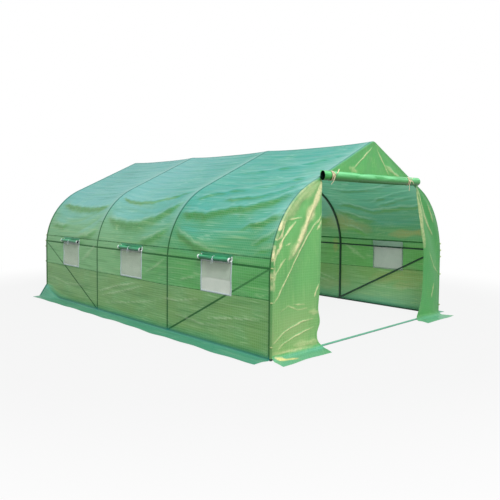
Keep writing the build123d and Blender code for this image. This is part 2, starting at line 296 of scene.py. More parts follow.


# How the film hangs: bellies by girth, swags as lines of (y, girth) with width, rise and share of painted shade, and
# heights of waves
drape = dict(
    girths=(0.0, 0.45, 0.875, 1.25, 1.7, 2.2, 2.7, halfGirth),
    bellies=(0.003, 0.005, 0.012, 0.036, 0.042, 0.034, 0.021, 0.016),
    swag=0.006,
    swagDrop=0.17,
    swagRise=0.024,
    ripple=0.0034,
    swags=[
        ([(-0.72, 1.27), (-0.832, 1.28), (-1.139, 1.285), (-1.346, 1.33), (-1.472, 1.375), (-1.662, 1.385),
          (-1.819, 1.425), (-1.98, 1.475), (-2.12, 1.545), (-2.2, 1.61), (-2.5, 1.80)], 0.064, 1.0, 1.1),
        ([(-1.72, 1.12), (-1.863, 1.185), (-1.956, 1.195), (-2.039, 1.22), (-2.116, 1.254), (-2.25, 1.29),
          (-2.5, 1.36)], 0.036, 0.8, 0.95),
        ([(-1.94, 0.98), (-2.03, 1.01), (-2.097, 1.033), (-2.145, 1.06), (-2.199, 1.11),
          (-2.3, 1.18)], 0.018, 0.5, 0.7),
        ([(-1.98, 0.905), (-2.051, 0.915), (-2.132, 0.935), (-2.227, 0.955), (-2.4, 0.98)], 0.013, 0.3, 0.5),
        ([(-2.06, 1.25), (-2.162, 1.285), (-2.193, 1.325), (-2.232, 1.35), (-2.4, 1.44)], 0.014, 0.3, 0.5),
        ([(-0.75, 1.10), (-0.998, 1.001), (-1.33, 0.89), (-1.60, 0.87)], 0.056, 0.8, 0.9),
        ([(-1.20, 1.49), (-1.502, 1.51), (-1.735, 1.54), (-1.936, 1.60), (-2.109, 1.71),
          (-2.35, 1.85)], 0.036, 0.9, 0.5),
        ([(-0.78, 1.47), (-1.033, 1.59), (-1.287, 1.675), (-1.552, 1.75), (-1.85, 1.85),
          (-2.15, 2.0)], 0.040, 0.8, 0.4),
        ([(-0.80, 2.10), (-1.10, 2.14), (-1.349, 2.192), (-1.848, 2.347), (-2.15, 2.5)], 0.034, 0.6, 0.3),
        ([(0.70, 1.18), (0.35, 1.14), (0.027, 1.134), (-0.314, 1.223), (-0.55, 1.354),
          (-0.73, 1.50)], 0.078, 1.0, 0.9),
        ([(-0.10, 0.88), (-0.457, 0.991), (-0.72, 1.12)], 0.050, 0.8, 0.7),
        ([(0.72, 1.52), (0.35, 1.45), (0.0, 1.46), (-0.40, 1.56), (-0.70, 1.68)], 0.026, 0.7, 0.20),
        ([(2.15, 1.39), (1.42, 1.332), (1.15, 1.33), (0.80, 1.37)], 0.052, 0.9, 0.65),
        ([(2.18, 1.045), (1.805, 1.03), (1.6, 1.06)], 0.036, 0.7, 0.5),
        ([(1.40, 0.88), (1.05, 0.92), (0.78, 1.02)], 0.044, 0.8, 0.6),
    ],
    farSwags=[
        ([(-0.78, 1.42), (-1.08, 1.427), (-1.195, 1.394), (-1.348, 1.33), (-1.515, 1.336), (-1.753, 1.377),
          (-2.045, 1.402), (-2.2, 1.42)], 0.040, 0.6, 0.35),
        ([(-1.40, 1.45), (-1.682, 1.589), (-1.896, 1.666), (-2.18, 1.73)], 0.026, 0.5, 0.2),
        ([(-1.45, 1.39), (-1.673, 1.463), (-1.88, 1.531), (-2.12, 1.60)], 0.026, 0.5, 0.2),
        ([(-0.76, 1.32), (-1.082, 1.225), (-1.29, 1.165), (-1.45, 1.177)], 0.040, 0.6, 0.4),
        ([(-0.76, 1.08), (-1.023, 1.017), (-1.25, 0.93)], 0.030, 0.5, 0.4),
        ([(-0.90, 1.86), (-1.25, 1.76), (-1.62, 1.80), (-2.1, 1.95)], 0.026, 0.5, 0.2),
    ],
    warm=[  # patches of the far side that the light makes warm: (y, girth), width, rise, share
        ([(-0.30, 1.06), (-0.60, 1.11), (-0.90, 1.13), (-1.255, 1.03)], 0.13, 0.0, 0.8),
        ([(-1.55, 0.96), (-1.75, 0.984), (-1.979, 1.007), (-2.2, 1.01)], 0.060, 0.0, 1.0),
        ([(-0.655, 0.86), (-0.65, 0.66)], 0.05, 0.0, 0.8),
        ([(-1.25, 0.32), (-1.57, 0.40), (-1.83, 0.44), (-2.1, 0.40)], 0.10, 0.0, 0.55),
        ([(-1.60, 0.27), (-1.80, 0.30), (-1.98, 0.34)], 0.06, 0.0, 0.6),
        ([(-0.25, 0.17), (-0.55, 0.19), (-0.90, 0.24)], 0.07, 0.0, 0.55),
        ([(0.10, 1.05), (0.45, 1.10), (0.70, 1.04)], 0.09, 0.0, 0.4),
        ([(0.9, 0.30), (1.3, 0.36), (1.8, 0.30)], 0.10, 0.0, 0.4),
    ],
)


# Drawn swags by how far a point is above each line: a bulge that rises slowly from above to the line and drops steeply
# under it, the share of painted shade on that under side, and the share of painted highlight on the crest. Widths taper
# to the ends of a line. The far side has its own lines in the front bay, and the near side's turned end for end in the
# others.
def swagFold(girth, y):
    far = girth > halfGirth
    g = np.where(far, 2 * halfGirth - girth, girth)
    rise, share, crest = np.zeros_like(g), np.zeros_like(g), np.zeros_like(g)
    turnedLines = [([(-y, g) for y, g in line], *rest) for line, *rest in drape["swags"] if line[0][0] < 0.75]
    swags = [(*swag, ~far, 0.3) for swag in drape["swags"]]
    swags += [(*swag, far, 0.5) for swag in drape["farSwags"]] + [(*swag, far, 0.3) for swag in turnedLines]
    for line, width, height, strength, here, bright in swags:
        lineY, lineG = np.array(line)[np.argsort([spot[0] for spot in line])].T
        above = g - np.interp(y, lineY, lineG) - 0.006 * np.sin(23 * y) - 0.004 * np.sin(51 * y + 1)
        place = np.clip((y - lineY[0]) / np.ptp(lineY), 0, 1)
        width = width * (0.3 + 0.7 * np.sqrt(np.sin(math.pi * place)))
        ends = min(0.22, 0.4 * np.ptp(lineY))
        fade = here * ease(lineY[0] - 0.02, lineY[0] + ends, y) * (1 - ease(lineY[-1] - ends, lineY[-1] + 0.02, y))
        rise += height * fade * np.exp(-((above / np.where(above > 0, 0.11, 0.85 * width)) ** 2))
        below = above + 0.5 * width
        under = below / (np.where(below > 0, 0.55, 1.5) * width)
        share = np.maximum(share, strength * fade * np.exp(-(under**2)))
        crest = np.maximum(crest, bright * fade * np.exp(-(((above - 0.026) / 0.013) ** 2)))
    return rise, share, crest


# How far the film lies inside the hoop line: a belly in each bay, swags that hang from hoop to hoop over the shoulder,
# the drawn swags, and lengthwise ripples on the roof and low on the wall, all nothing at the hoops
def slack(girth, y):
    girth, y = np.broadcast_arrays(np.asarray(girth, float), np.asarray(y, float))
    far = girth > halfGirth
    g = np.where(far, 2 * halfGirth - girth, girth)
    number = np.clip(np.floor((y + hoopEnd) / bay), 0, tunnel["bays"] - 1)
    t = np.clip((y + hoopEnd) / bay - number, 0, 1)
    span = 4 * t * (1 - t)
    tent = 1 - np.abs(2 * t - 1) ** 3  # steep beside a hoop, flat in the middle of the bay
    seed = number * 1.7 + np.where(far, 5.3, 0.0)
    belly = smoothLine(drape["girths"], drape["bellies"], g) * tent
    lean = 0.10 + 0.12 * np.sin(2.1 * seed + 0.9)
    hung = g + drape["swagDrop"] * span - lean * (1 - t) + 0.02 * np.sin(5 * y + 2 * seed)
    folds = 0.65 * crests(hung / 0.31 + 0.23 * seed, 2.0) + 0.45 * crests(hung / 0.17 + 0.61 * seed, 1.6)
    onShoulder = ease(0.84, 1.05, g) * (1 - ease(1.5, 2.1, g))
    swag = drape["swag"] * onShoulder * span**0.6 * (folds - 0.3)
    drawn = -drape["swagRise"] * swagFold(girth, y)[0] * ease(0, 0.35, span) * ease(0.82, 0.95, g)
    wander = g + 0.015 * np.sin(3.1 * y + seed) + 0.008 * np.sin(7.7 * y + 3 * seed)
    broad = np.sin(2 * math.pi * wander / 0.115 + 1.1 * np.sin(2.3 * y + seed))
    narrow = 0.6 * np.sin(2 * math.pi * wander / 0.071 + 2 * seed)
    onRoof = ease(1.3, 1.8, g) * (1 - ease(halfGirth - 0.16, halfGirth - 0.04, g))
    ripple = drape["ripple"] * onRoof * np.sqrt(span) * (broad + narrow)
    lowTurns = (g + 0.09 * span + 0.03 * np.sin(4 * y + seed)) / 0.19
    low = 0.0016 * (1 - ease(0.9, 1.2, g)) * span * np.sin(2 * math.pi * lowTurns + seed)
    return belly + swag + drawn + ripple + low


# Film surface by girth and y, lift further out than the film itself
def coverPoint(girth, y, lift=0.0):
    x, z, nx, nz = outline(girth, hoopInset - filmGap + slack(girth, y) - lift)
    return np.stack(np.broadcast_arrays(x, y, z), -1)


# Painted sky reflection: bluer film where the front bay hangs slack over its seam
def slackSkyPaint(girth, y):
    front = 1 - ease(-1.45, -0.80, y - 0.5 * (girth - 1.1))
    far = np.exp(-(((2 * halfGirth - girth - 1.15) / 0.11) ** 2)) * (1 - ease(-1.5, -1.1, y))
    return 0.05 * front * ease(0.84, 0.93, girth) * (1 - ease(1.5, 2.0, girth)) + 0.16 * far


# Painted sheen on the film behind a hoop: 1 at the hoop, gone about 0.3 m behind it
def hoopSheen(girth, y):
    behind = np.mod(y + hoopEnd, bay)
    g = np.minimum(girth, 2 * halfGirth - girth)
    return np.exp(-((behind / (0.15 + 0.05 * np.sin(4 * g))) ** 2)) * ease(0.90, 1.25, g)


# Painted patches of warm light on the far side, 0 to 1
def warmth(girth, y):
    return creaseField(y, 2 * halfGirth - girth, drape["warm"])[1]


# How far up the surface of a grid of points looks, from the cross product of its two directions
def upwardness(points, flip=False):
    normal = np.cross(np.gradient(points, axis=0), np.gradient(points, axis=1))
    up = normal[..., 2] / np.maximum(np.linalg.norm(normal, axis=-1), 1e-9)
    return -up if flip else up


# Lines painted on the film, the frame's as painted shadows of its tubes: heights of the rail and seams, the brace from
# its foot up its slope, half widths
lineSet = dict(
    rail=0.79, railHalf=0.0095, braceFoot=0.015, braceSlope=0.5206, braceHalf=0.0105, ridgeHalf=0.034,
    seamLow=0.485, seamLowHalf=0.004, seamHigh=0.872, seamHighHalf=0.005, seamClimb=0.034,
)


# Woven polyethylene film, slit tapes laminated both sides: satin, lets light through, pale at a glancing look from the
# shader's sheen and a painted sheen, pale where it is creased from a painted highlight. The frame behind it is painted
# on as dark lines, the painted shadow of its tubes through the film. Its scrim has threads every 10 mm, drawn every 24
# mm so that they show from here.
def filmMaterial(name, shades, frameLines):
    material, add = newMaterial(name)
    place = add("SeparateXYZ", [add("TexCoord", output="Object")]).node.outputs
    cut = add("UVMap", uv_map="cut")
    cutXy = add("SeparateXYZ", [cut]).node.outputs
    marks = ("paintedSky", "paintedLight", "dark", "swagShade", "paintedSheen", "bar", "warm")
    paintedSky, paintedLight, dark, swagShade, paintedSheen, bar, warm = (add("Attribute", output="Fac", attribute_name=mark) for mark in marks)

    # Lower wall or warm corner, then the panel above it, then the painted sky reflection: bluish where the film looks
    # up
    if frameLines:
        climb = add("MapRange", (place[1], -0.7, -2.25, 0.0, lineSet["seamClimb"]))  # the seam climbs towards the door
        overSeam = add("Math", (place[2], climb), operation="SUBTRACT")
        panel = add("MapRange", (overSeam, lineSet["seamLow"] - 0.003, lineSet["seamLow"] + 0.003))
    else:
        panelX = add("MapRange", (place[0], -1.15, -0.6), **smooth)
        panelZ = add("MapRange", (place[2], 0.15, 0.7, 0.0, 0.75), **smooth)
        panel = add("Math", (panelX, panelZ), **most)
    low = add("MapRange", (paintedSky, 0.04, 0.34), **smooth)
    high = add("MapRange", (paintedSky, 0.34, 0.84), **smooth)
    # Tones that turn bluer with the painted sky reflection
    tones = dict(shades)
    for key, upper in (
        ("backSheen", "backSheenTop"), ("crease", "creaseTop"), ("hollow", "hollowTop"),
        ("tape", "creaseTop"), ("frame", "frameTop"), ("highlightTone", "highlightTopTone"),
    ):
        if upper in shades:
            tones[key] = add("Mix", {0: high, 6: shades[key], 7: shades[upper]}, **blend)
    layers = [(low, "middle"), (high, "top")]  # share and tone, from the lowest up

    # Clouds of lamination, 300 mm, painted sheen behind the hoops, and painted shade on the under side of swags
    cloud = add("TexNoise", {"Vector": cut, "Scale": 1 / 0.3, "Detail": 3.0})
    fine = add("TexNoise", {"Vector": cut, "Scale": 1 / 0.035, "Detail": 4.0, "Roughness": 0.65})
    broken = add("MapRange", (fine, 0.35, 0.65, 0.55, 1.0))
    layers.append((add("MapRange", (cloud, 0.40, 0.68, 0.0, shades["clouds"])), "cloud"))
    if frameLines:  # painted sheen growing towards the back, painted warm light in patches
        backSheen = add("MapRange", (place[1], -0.95, 0.6, 0.0, 0.40), **smooth)
        aboveSeam = add("MapRange", (panel, None, None, 0.15, 1.0))
        layers.append((add("Math", (backSheen, aboveSeam), **times), "backSheen"))
        layers.append((add("Math", (warm, broken), **times), "warm"))
    # Painted shade on the under side of swags, its tone bluer over the shoulder
    overShoulder = add("MapRange", (place[2], 1.37, 1.43))
    tones["under"] = add("Mix", {0: overShoulder, 6: shades["under"], 7: shades["hollowTop"]}, **blend)
    swagShadeShare = add("Math", (add("Math", (swagShade, broken), **times), 0.85), **times)
    layers += [(add("Math", (paintedSheen, shades["paintedSheen"]), **times), "creaseTop"), (swagShadeShare, "under")]

    # Long shallow creases along the sheet: painted highlight on the crest, painted shade in the hollow, and thin sharp
    # lines between
    stretch = add("Mapping", {0: cut, 3: (1 / shades["grain"][0], 1 / shades["grain"][1], 1.0)})
    streak = add("TexNoise", {"Vector": stretch, "Scale": 1.0, "Detail": 3.0, "Distortion": 0.5})
    crest = add("MapRange", (streak, 0.54, 0.74, 0.0, shades["streak"]), **smooth)
    hollow = add("MapRange", (streak, 0.46, 0.28, 0.0, shades["streak"]), **smooth)
    toLine = add("Math", [add("Math", (streak, 0.5), operation="SUBTRACT")], operation="ABSOLUTE")
    line = add("MapRange", (toLine, 0.03, 0.006), **smooth)
    kept = add("MapRange", (cloud, 0.47, 0.60, 0.0, shades["lines"]))
    layers += [(crest, "crease"), (hollow, "hollow"), (add("Math", (line, kept), **times), "crease")]

    # Scrim: pale threads both ways, the squares between them a little deeper
    toWarp, toWeft = (add("Math", (cutXy[k], 0.012), operation="PINGPONG") for k in (0, 1))
    toThread = add("Math", (toWarp, toWeft), operation="MINIMUM")
    weave = add("MapRange", (toThread, 0.006, 0.002), **smooth)
    squares = add("MapRange", (weave, None, None, 0.6 * shades["weave"], 0.0))
    layers += [(add("Math", (weave, shades["weave"]), **times), "tape"), (squares, "hollow")]

    if frameLines:
        # Painted shadows of the hoops, brace, rail and ridge through the film, then the seams
        endRun = add("Math", [place[1]], operation="ABSOLUTE")
        toHoop = add("Math", (add("Math", (place[1], hoopEnd), operation="ADD"), bay / 2), operation="PINGPONG")
        hoopHalf = add("MapRange", (high, None, None, 0.015, 0.022))  # the roof is seen aslant, so broader there
        hoop = add("MapRange", (toHoop, hoopHalf, 0.009), **smooth)
        endStart = add("MapRange", (place[2], 0.80, 0.95, hoopEnd - 0.030, hoopEnd - 0.015))
        backShift = add("MapRange", (place[1], -1.0, 1.0, 0.0, 0.022))  # the back hoop sits further in
        endRunIn = add("Math", (endRun, backShift), operation="ADD")
        endHoop = add("MapRange", (endRunIn, endStart, hoopEnd - 0.007), **smooth)
        offGround = add("MapRange", (place[2], 0.010, 0.016))
        hoop = add("Math", (add("Math", (hoop, endHoop), **most), offGround), **times)
        # brace: height over the line from a middle hoop's foot up to the end hoop at the rail
        along = add("Math", (endRun, bay / 2), operation="SUBTRACT")
        over = add("Math", (along, -lineSet["braceSlope"], place[2]), operation="MULTIPLY_ADD")
        brace = add("Math", (over, lineSet["braceFoot"], lineSet["braceHalf"]), operation="COMPARE")
        endBay = add("Math", (along, 0.0), operation="GREATER_THAN")
        underRail = add("Math", (place[2], lineSet["rail"]), operation="LESS_THAN")
        braceShare = add("MapRange", (place[2], 0.48, 0.60, 1.0, 0.72))  # stands further off the film there
        for share in (endBay, underRail, offGround, braceShare):
            brace = add("Math", (brace, share), **times)
        steel = add("Math", (place[2], lineSet["rail"], lineSet["railHalf"]), operation="COMPARE")
        ridge = add("Math", (place[0], 0.0, lineSet["ridgeHalf"]), operation="COMPARE")
        for tube in (brace, hoop, ridge):
            steel = add("Math", (steel, tube), **most)
        steelStrength = add("MapRange", (high, None, None, 0.9, 0.84))  # less on the bright roof
        doubled = add("MapRange", (place[2], 0.86, 1.0, 0.0, 0.12))  # hem over the end hoops
        doubled = add("Math", (doubled, endHoop), **times)
        steelStrength = add("Math", (steelStrength, doubled), operation="SUBTRACT", use_clamp=True)
        steelShare = add("Math", (steel, steelStrength), **times)
        seamLow = add("Math", (overSeam, lineSet["seamLow"], lineSet["seamLowHalf"]), operation="COMPARE")
        seamHigh = add("Math", (place[2], lineSet["seamHigh"], lineSet["seamHighHalf"]), operation="COMPARE")
        seam = add("Math", (seamLow, seamHigh), **most)
        stitches = add("TexNoise", {"Vector": cut, "Scale": 14.0})
        for share in (add("MapRange", (stitches, 0.35, 0.65, 0.6, 1.0)), 0.85):
            seam = add("Math", (seam, share), **times)
        shown = add("Math", (steelShare, seam), **most)
    else:  # painted shadow of the hoop tube where the panel is carried round it, most below the rail
        shown = add("Math", (bar, add("MapRange", (place[2], 0.84, 1.0, 0.62, 0.3))), **times)
    # Painted highlights along creases and swag crests, broken up by mottle
    mottle = add("MapRange", (fine, 0.36, 0.62, 0.55, 1.3))
    highlightTone = add("Math", (paintedLight, mottle), operation="MULTIPLY", use_clamp=True)
    # dark carries stitched hems and painted shade: the skirt, the base rail's line and the right flap
    layers += [(shown, "frame"), (dark, "hem"), (highlightTone, "highlightTone")]
    colour = add("Mix", {0: panel, 6: shades["low"], 7: shades["side"]}, **blend)
    for share, key in layers:
        colour = add("Mix", {0: share, 6: colour, 7: tones[key]}, **blend)

    rough = add("MapRange", (cloud, 0.3, 0.7, shades["gloss"] - 0.06, shades["gloss"] + 0.08))
    rough = add("MapRange", (shown, None, None, rough, 0.9))  # rubbed dull over the tubes
    height = add("Math", (weave, 0.10, streak), operation="MULTIPLY_ADD")
    bump = add("Bump", {"Strength": 0.5, "Distance": 0.006, "Height": height})
    face = add("BsdfPrincipled", {
        "Base Color": colour, "Roughness": rough, "IOR": 1.5, "Specular IOR Level": shades["shine"], "Normal": bump,
        "Sheen Weight": shades["sheen"], "Sheen Roughness": 0.35, "Sheen Tint": "#C4E4EA",
        "Coat Weight": shades["coat"], "Coat Roughness": 0.22, "Coat IOR": 1.5,
    })
    glow = add("Mix", {0: 0.45, 6: colour, 7: shades["glow"]}, **blend)
    through = add("BsdfTranslucent", {"Color": glow, "Normal": bump})
    lightShare = add("MapRange", (shown, None, None, 0.42, 0.06))  # no light comes through a tube
    add("OutputMaterial", [add("MixShader", (lightShare, face, through))])
    return material


coverFilm = filmMaterial("wovenFilmCover", dict(
    low="#7CA863", side="#57B35E", middle="#3FA274", top="#1EA69E", cloud="#52AA7C", under="#2C8A3C",
    crease="#B8DBA4", creaseTop="#A8DEDA", hollow="#448548", hollowTop="#1E8C80", tape="#A4D0A6",
    frame="#04501A", frameTop="#066858", hem="#217A72", highlightTone="#CFE6BE", highlightTopTone="#A8DEDA",
    backSheen="#C0EABE", backSheenTop="#A4E2F2", warm="#BCA86C", glow="#86B862",
    clouds=0.3, streak=0.45, lines=0.5, weave=0.22, grain=(0.7, 0.036), gloss=0.36, shine=0.32, sheen=0.05, coat=0.1,
    paintedSheen=0.5,
), True)
endFilm = filmMaterial("wovenFilmEnds", dict(
    low="#A2C07E", side="#5BB466", middle="#69BE7C", top="#56B092", cloud="#74B464", under="#6FA04F",
    crease="#BFE29C", creaseTop="#A6D8B4", hollow="#459A50", hollowTop="#3F9A78", tape="#93CF92",
    frame="#1F6B2E", hem="#2F9450", highlightTone="#FDF2BE", highlightTopTone="#F6E7A0", glow="#8CC266",
    clouds=0.4, streak=0.16, lines=0.25, weave=0.2, grain=(0.05, 0.45), gloss=0.36, shine=0.4, sheen=0.03, coat=0.1,
    paintedSheen=0.0,
), False)

# Same film rolled up: many layers, so it is deeper in colour and glossy, with painted shade between the turns and on
# the under side, white tape at bound ends. Creases 250 mm long.
rolledFilms = {}
for name, deep, light, underShade in (
    ("rolledDoorFilm", "#3F9A54", "#76CA8C", "#15701A"),
    ("rolledWindowFilm", "#16724A", "#3CA472", "#12583A"),
):
    rolledFilms[name], add = newMaterial(name)
    coreShade, bound, low = (add("Attribute", output="Fac", attribute_name=mark) for mark in ("coreShade", "bound", "low"))
    stretch = add("Mapping", {0: add("UVMap", uv_map="cut"), 3: (1 / 0.25, 1 / 0.03, 1.0)})
    cloud = add("TexNoise", {"Vector": stretch, "Scale": 1.0, "Detail": 3.0, "Distortion": 0.6})
    colour = deep
    cloudShare = add("MapRange", (cloud, 0.35, 0.68))
    for share, shade in ((cloudShare, light), (low, underShade), (coreShade, "#0B1F16"), (bound, "#E6ECEA")):
        colour = add("Mix", {0: share, 6: colour, 7: shade}, **blend)
    rough = add("MapRange", (cloud, 0.3, 0.7, 0.24, 0.38))
    bump = add("Bump", {"Strength": 0.4, "Distance": 0.003, "Height": cloud})
    face = add("BsdfPrincipled", {
        "Base Color": colour, "Roughness": rough, "IOR": 1.5, "Specular IOR Level": 0.35, "Normal": bump,
    })
    add("OutputMaterial", [face])

# Knitted polyester net, 2 mm holes drawn 9 mm: white threads, see-through between them
windowNet, add = newMaterial("knittedNet")
cutXy = add("SeparateXYZ", [add("UVMap", uv_map="cut")]).node.outputs
across, along = (add("Math", (cutXy[k], 0.0045), operation="PINGPONG") for k in (0, 1))
toThread = add("Math", (across, along), operation="MINIMUM")
thread = add("MapRange", (toThread, 0.0021, 0.0009), **smooth)
hem = add("MapRange", (cutXy[1], 0.790, 0.794))  # doubled at its head
hole, knit = (add("MapRange", (hem, None, None, share, 1.0)) for share in (0.74, 0.95))
shade = add("TexNoise", {"Vector": add("TexCoord", output="Object"), "Scale": 9.0})
colour = add("Mix", {0: shade, 6: "#A8B8A8", 7: "#C0CABC"}, **blend)
colour = add("Mix", {0: hem, 6: colour, 7: "#DDE6E2"}, **blend)
face = add("BsdfPrincipled", {
    "Base Color": colour, "Roughness": add("MapRange", (shade, None, None, 0.62, 0.8)), "IOR": 1.5,
    "Alpha": add("MapRange", (thread, None, None, hole, knit)),
    "Normal": add("Bump", {"Strength": 0.3, "Distance": 0.001, "Height": thread}),
})
add("OutputMaterial", [face])

# Woven polypropylene tape, ribbed along its length, matt, thin enough to glow when light is behind it
tapes = {}
for name, light, shadow in (
    ("whiteBindingTape", "#E4EEF0", "#BCCDD0"),
    ("creamTieTape", "#F2E8CE", "#D9CBA6"),
    ("paleCordTape", "#DCE6B4", "#BCCB86"),
):
    tapes[name], add = newMaterial(name)
    spot = add("TexCoord", output="Object")
    wear = add("TexNoise", {"Vector": spot, "Scale": 1 / 0.02, "Detail": 2.0})
    rib = add("TexWave", {"Vector": spot, "Scale": 1 / 0.006 / 6.28, "Distortion": 1.5})
    colour = add("Mix", {0: wear, 6: shadow, 7: light}, **blend)
    rough = add("MapRange", (wear, None, None, 0.55, 0.75))
    bump = add("Bump", {"Strength": 0.3, "Distance": 0.0008, "Height": rib})
    face = add("BsdfPrincipled", {"Base Color": colour, "Roughness": rough, "IOR": 1.5, "Normal": bump})
    through = add("BsdfTranslucent", {"Color": colour})
    add("OutputMaterial", [add("MixShader", (0.4, face, through))])

# Powder-coated steel tube: dark green, half gloss, fine orange peel of about 3 mm, scuffed paler in patches
coatedSteel, add = newMaterial("powderCoatedSteel")
spot = add("TexCoord", output="Object")
scuff = add("TexNoise", {"Vector": spot, "Scale": 1 / 0.05, "Detail": 5.0, "Roughness": 0.7})
scuffShare = add("MapRange", (scuff, 0.52, 0.78, 0.0, 0.5))
colour = add("Mix", {0: scuffShare, 6: "#17402F", 7: "#2F6B50"}, **blend)
peel = add("TexNoise", {"Vector": spot, "Scale": 1 / 0.003})
bump = add("Bump", {"Strength": 0.12, "Distance": 0.0005, "Height": peel})
rough = add("MapRange", (scuff, 0.3, 0.8, 0.32, 0.5))
face = add("BsdfPrincipled", {"Base Color": colour, "Roughness": rough, "IOR": 1.5, "Normal": bump})
add("OutputMaterial", [face])

# Sill tube in a sleeve of the cover film: teal green, satin, wrinkled along its length
wrappedTube, add = newMaterial("filmSleevedTube")
spot = add("Mapping", {0: add("TexCoord", output="Object"), 3: (1 / 0.12, 1 / 0.01, 1 / 0.01)})
fold = add("TexNoise", {"Vector": spot, "Scale": 1.0, "Detail": 3.0})
colour = add("Mix", {0: fold, 6: "#3C8469", 7: "#6DB596"}, **blend)
rough = add("MapRange", (fold, None, None, 0.35, 0.55))
bump = add("Bump", {"Strength": 0.4, "Distance": 0.002, "Height": fold})
face = add("BsdfPrincipled", {"Base Color": colour, "Roughness": rough, "IOR": 1.5, "Normal": bump})
add("OutputMaterial", [face])
print("materials made")

# Tube frame: the CAD solids, coated
for name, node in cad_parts.items():
    node.data.materials.clear()
    node.data.materials.append(wrappedTube if name == "front_threshold_bar" else coatedSteel)
print("frame coated")

# Roof and shoulders: one sheet from the left upper seam over the ridge to the right one, lapped over the walls
roofSet = dict(edge=0.866, rowStep=0.0128, columnStep=0.0152, lap=0.0012, windowHalf=0.2175)
columnBreaks = np.sort(np.concatenate([hoopYs, windowYs - roofSet["windowHalf"], windowYs + roofSet["windowHalf"]]))
columnYs = stations(columnBreaks, roofSet["columnStep"])
roofGirths = stations([roofSet["edge"], halfGirth, 2 * halfGirth - roofSet["edge"]], roofSet["rowStep"])
girth, along = np.meshgrid(roofGirths, columnYs, indexing="ij")
toEdge = np.minimum(girth, 2 * halfGirth - girth) - roofSet["edge"]
points = coverPoint(girth, along, roofSet["lap"] * (1 - ease(0.02, 0.06, toEdge)))
under, crest = swagFold(girth, along)[1:]
# paintedSky is a painted sky reflection: bluer as the film looks up, and where the front bay hangs slack
roofFilm = makePiece(
    "roofFilm", points, gridFaces(*girth.shape), coverFilm, "cover_film", np.stack([along, girth], -1),
    dict(
        paintedSky=upwardness(points) + slackSkyPaint(girth, along), swagShade=under, paintedLight=crest,
        paintedSheen=hoopSheen(girth, along), warm=warmth(girth, along),
    ),
    ["left_roof_sheet", "right_roof_sheet"],
)
print("roof film made")

# Long walls: window band, lower wall, the turn at the ground and the skirt that lies on it, one sheet a side
wallSet = dict(
    top=0.882, seam=lineSet["seamLow"], sill=0.5, head=0.86, footTop=0.17, step=0.0145, fillet=0.018, skirt=0.185,
    shake=0.0014, hem=(0.018, 0.012, 0.35), rest=(0.012, 0.020, 0.95), skirtShadeStrength=0.44,  # hem and rest, the base rail's painted shadow: place, width, share; then painted shade on the skirt
    slant=((0.0, 0.17), (0.105, 0.004), (0.20, 0.0)),  # foot of the corner that stands off: (run, height)
    creases=[  # lines of (y, height), width, rise, paleness of the painted highlight
        ([(0.70, 0.25), (0.248, 0.369), (-0.15, 0.44)], 0.011, 0.004, 0.6),
        ([(0.66, 0.20), (0.112, 0.322), (-0.275, 0.42)], 0.010, 0.004, 0.5),
        ([(0.60, 0.12), (0.0, 0.20), (-0.55, 0.29)], 0.010, 0.003, 0.35),
        ([(-0.60, 0.33), (-0.953, 0.349), (-1.252, 0.404)], 0.009, 0.003, 0.5),
        ([(-1.395, 0.237), (-1.75, 0.29), (-2.102, 0.329)], 0.009, 0.003, 0.55),
        ([(-0.80, 0.21), (-1.30, 0.17), (-1.90, 0.22)], 0.010, 0.003, 0.35),
        ([(2.10, 0.30), (1.60, 0.24), (1.00, 0.28)], 0.012, 0.003, 0.3),
        ([(1.15, 0.60), (0.98, 0.69), (0.82, 0.79)], 0.030, 0.004, 0.45),
        ([(-0.32, 0.58), (-0.52, 0.66), (-0.70, 0.76)], 0.014, 0.003, 0.4),
        ([(-0.95, 0.56), (-1.10, 0.60), (-1.22, 0.61)], 0.012, 0.003, 0.4),
    ],
)
footTop = wallSet["footTop"]
(hemAt, hemHalf, hemShare), (railShadowAt, railShadowWide, railShadowShare) = wallSet["hem"], wallSet["rest"]
slantX, slantZ = np.array(wallSet["slant"]).T
slantRun = np.concatenate([[0], np.cumsum(np.hypot(np.diff(slantX), np.diff(slantZ)))])
wallHeights = stations([footTop, wallSet["seam"], wallSet["sill"], wallSet["head"], wallSet["top"]], wallSet["step"])
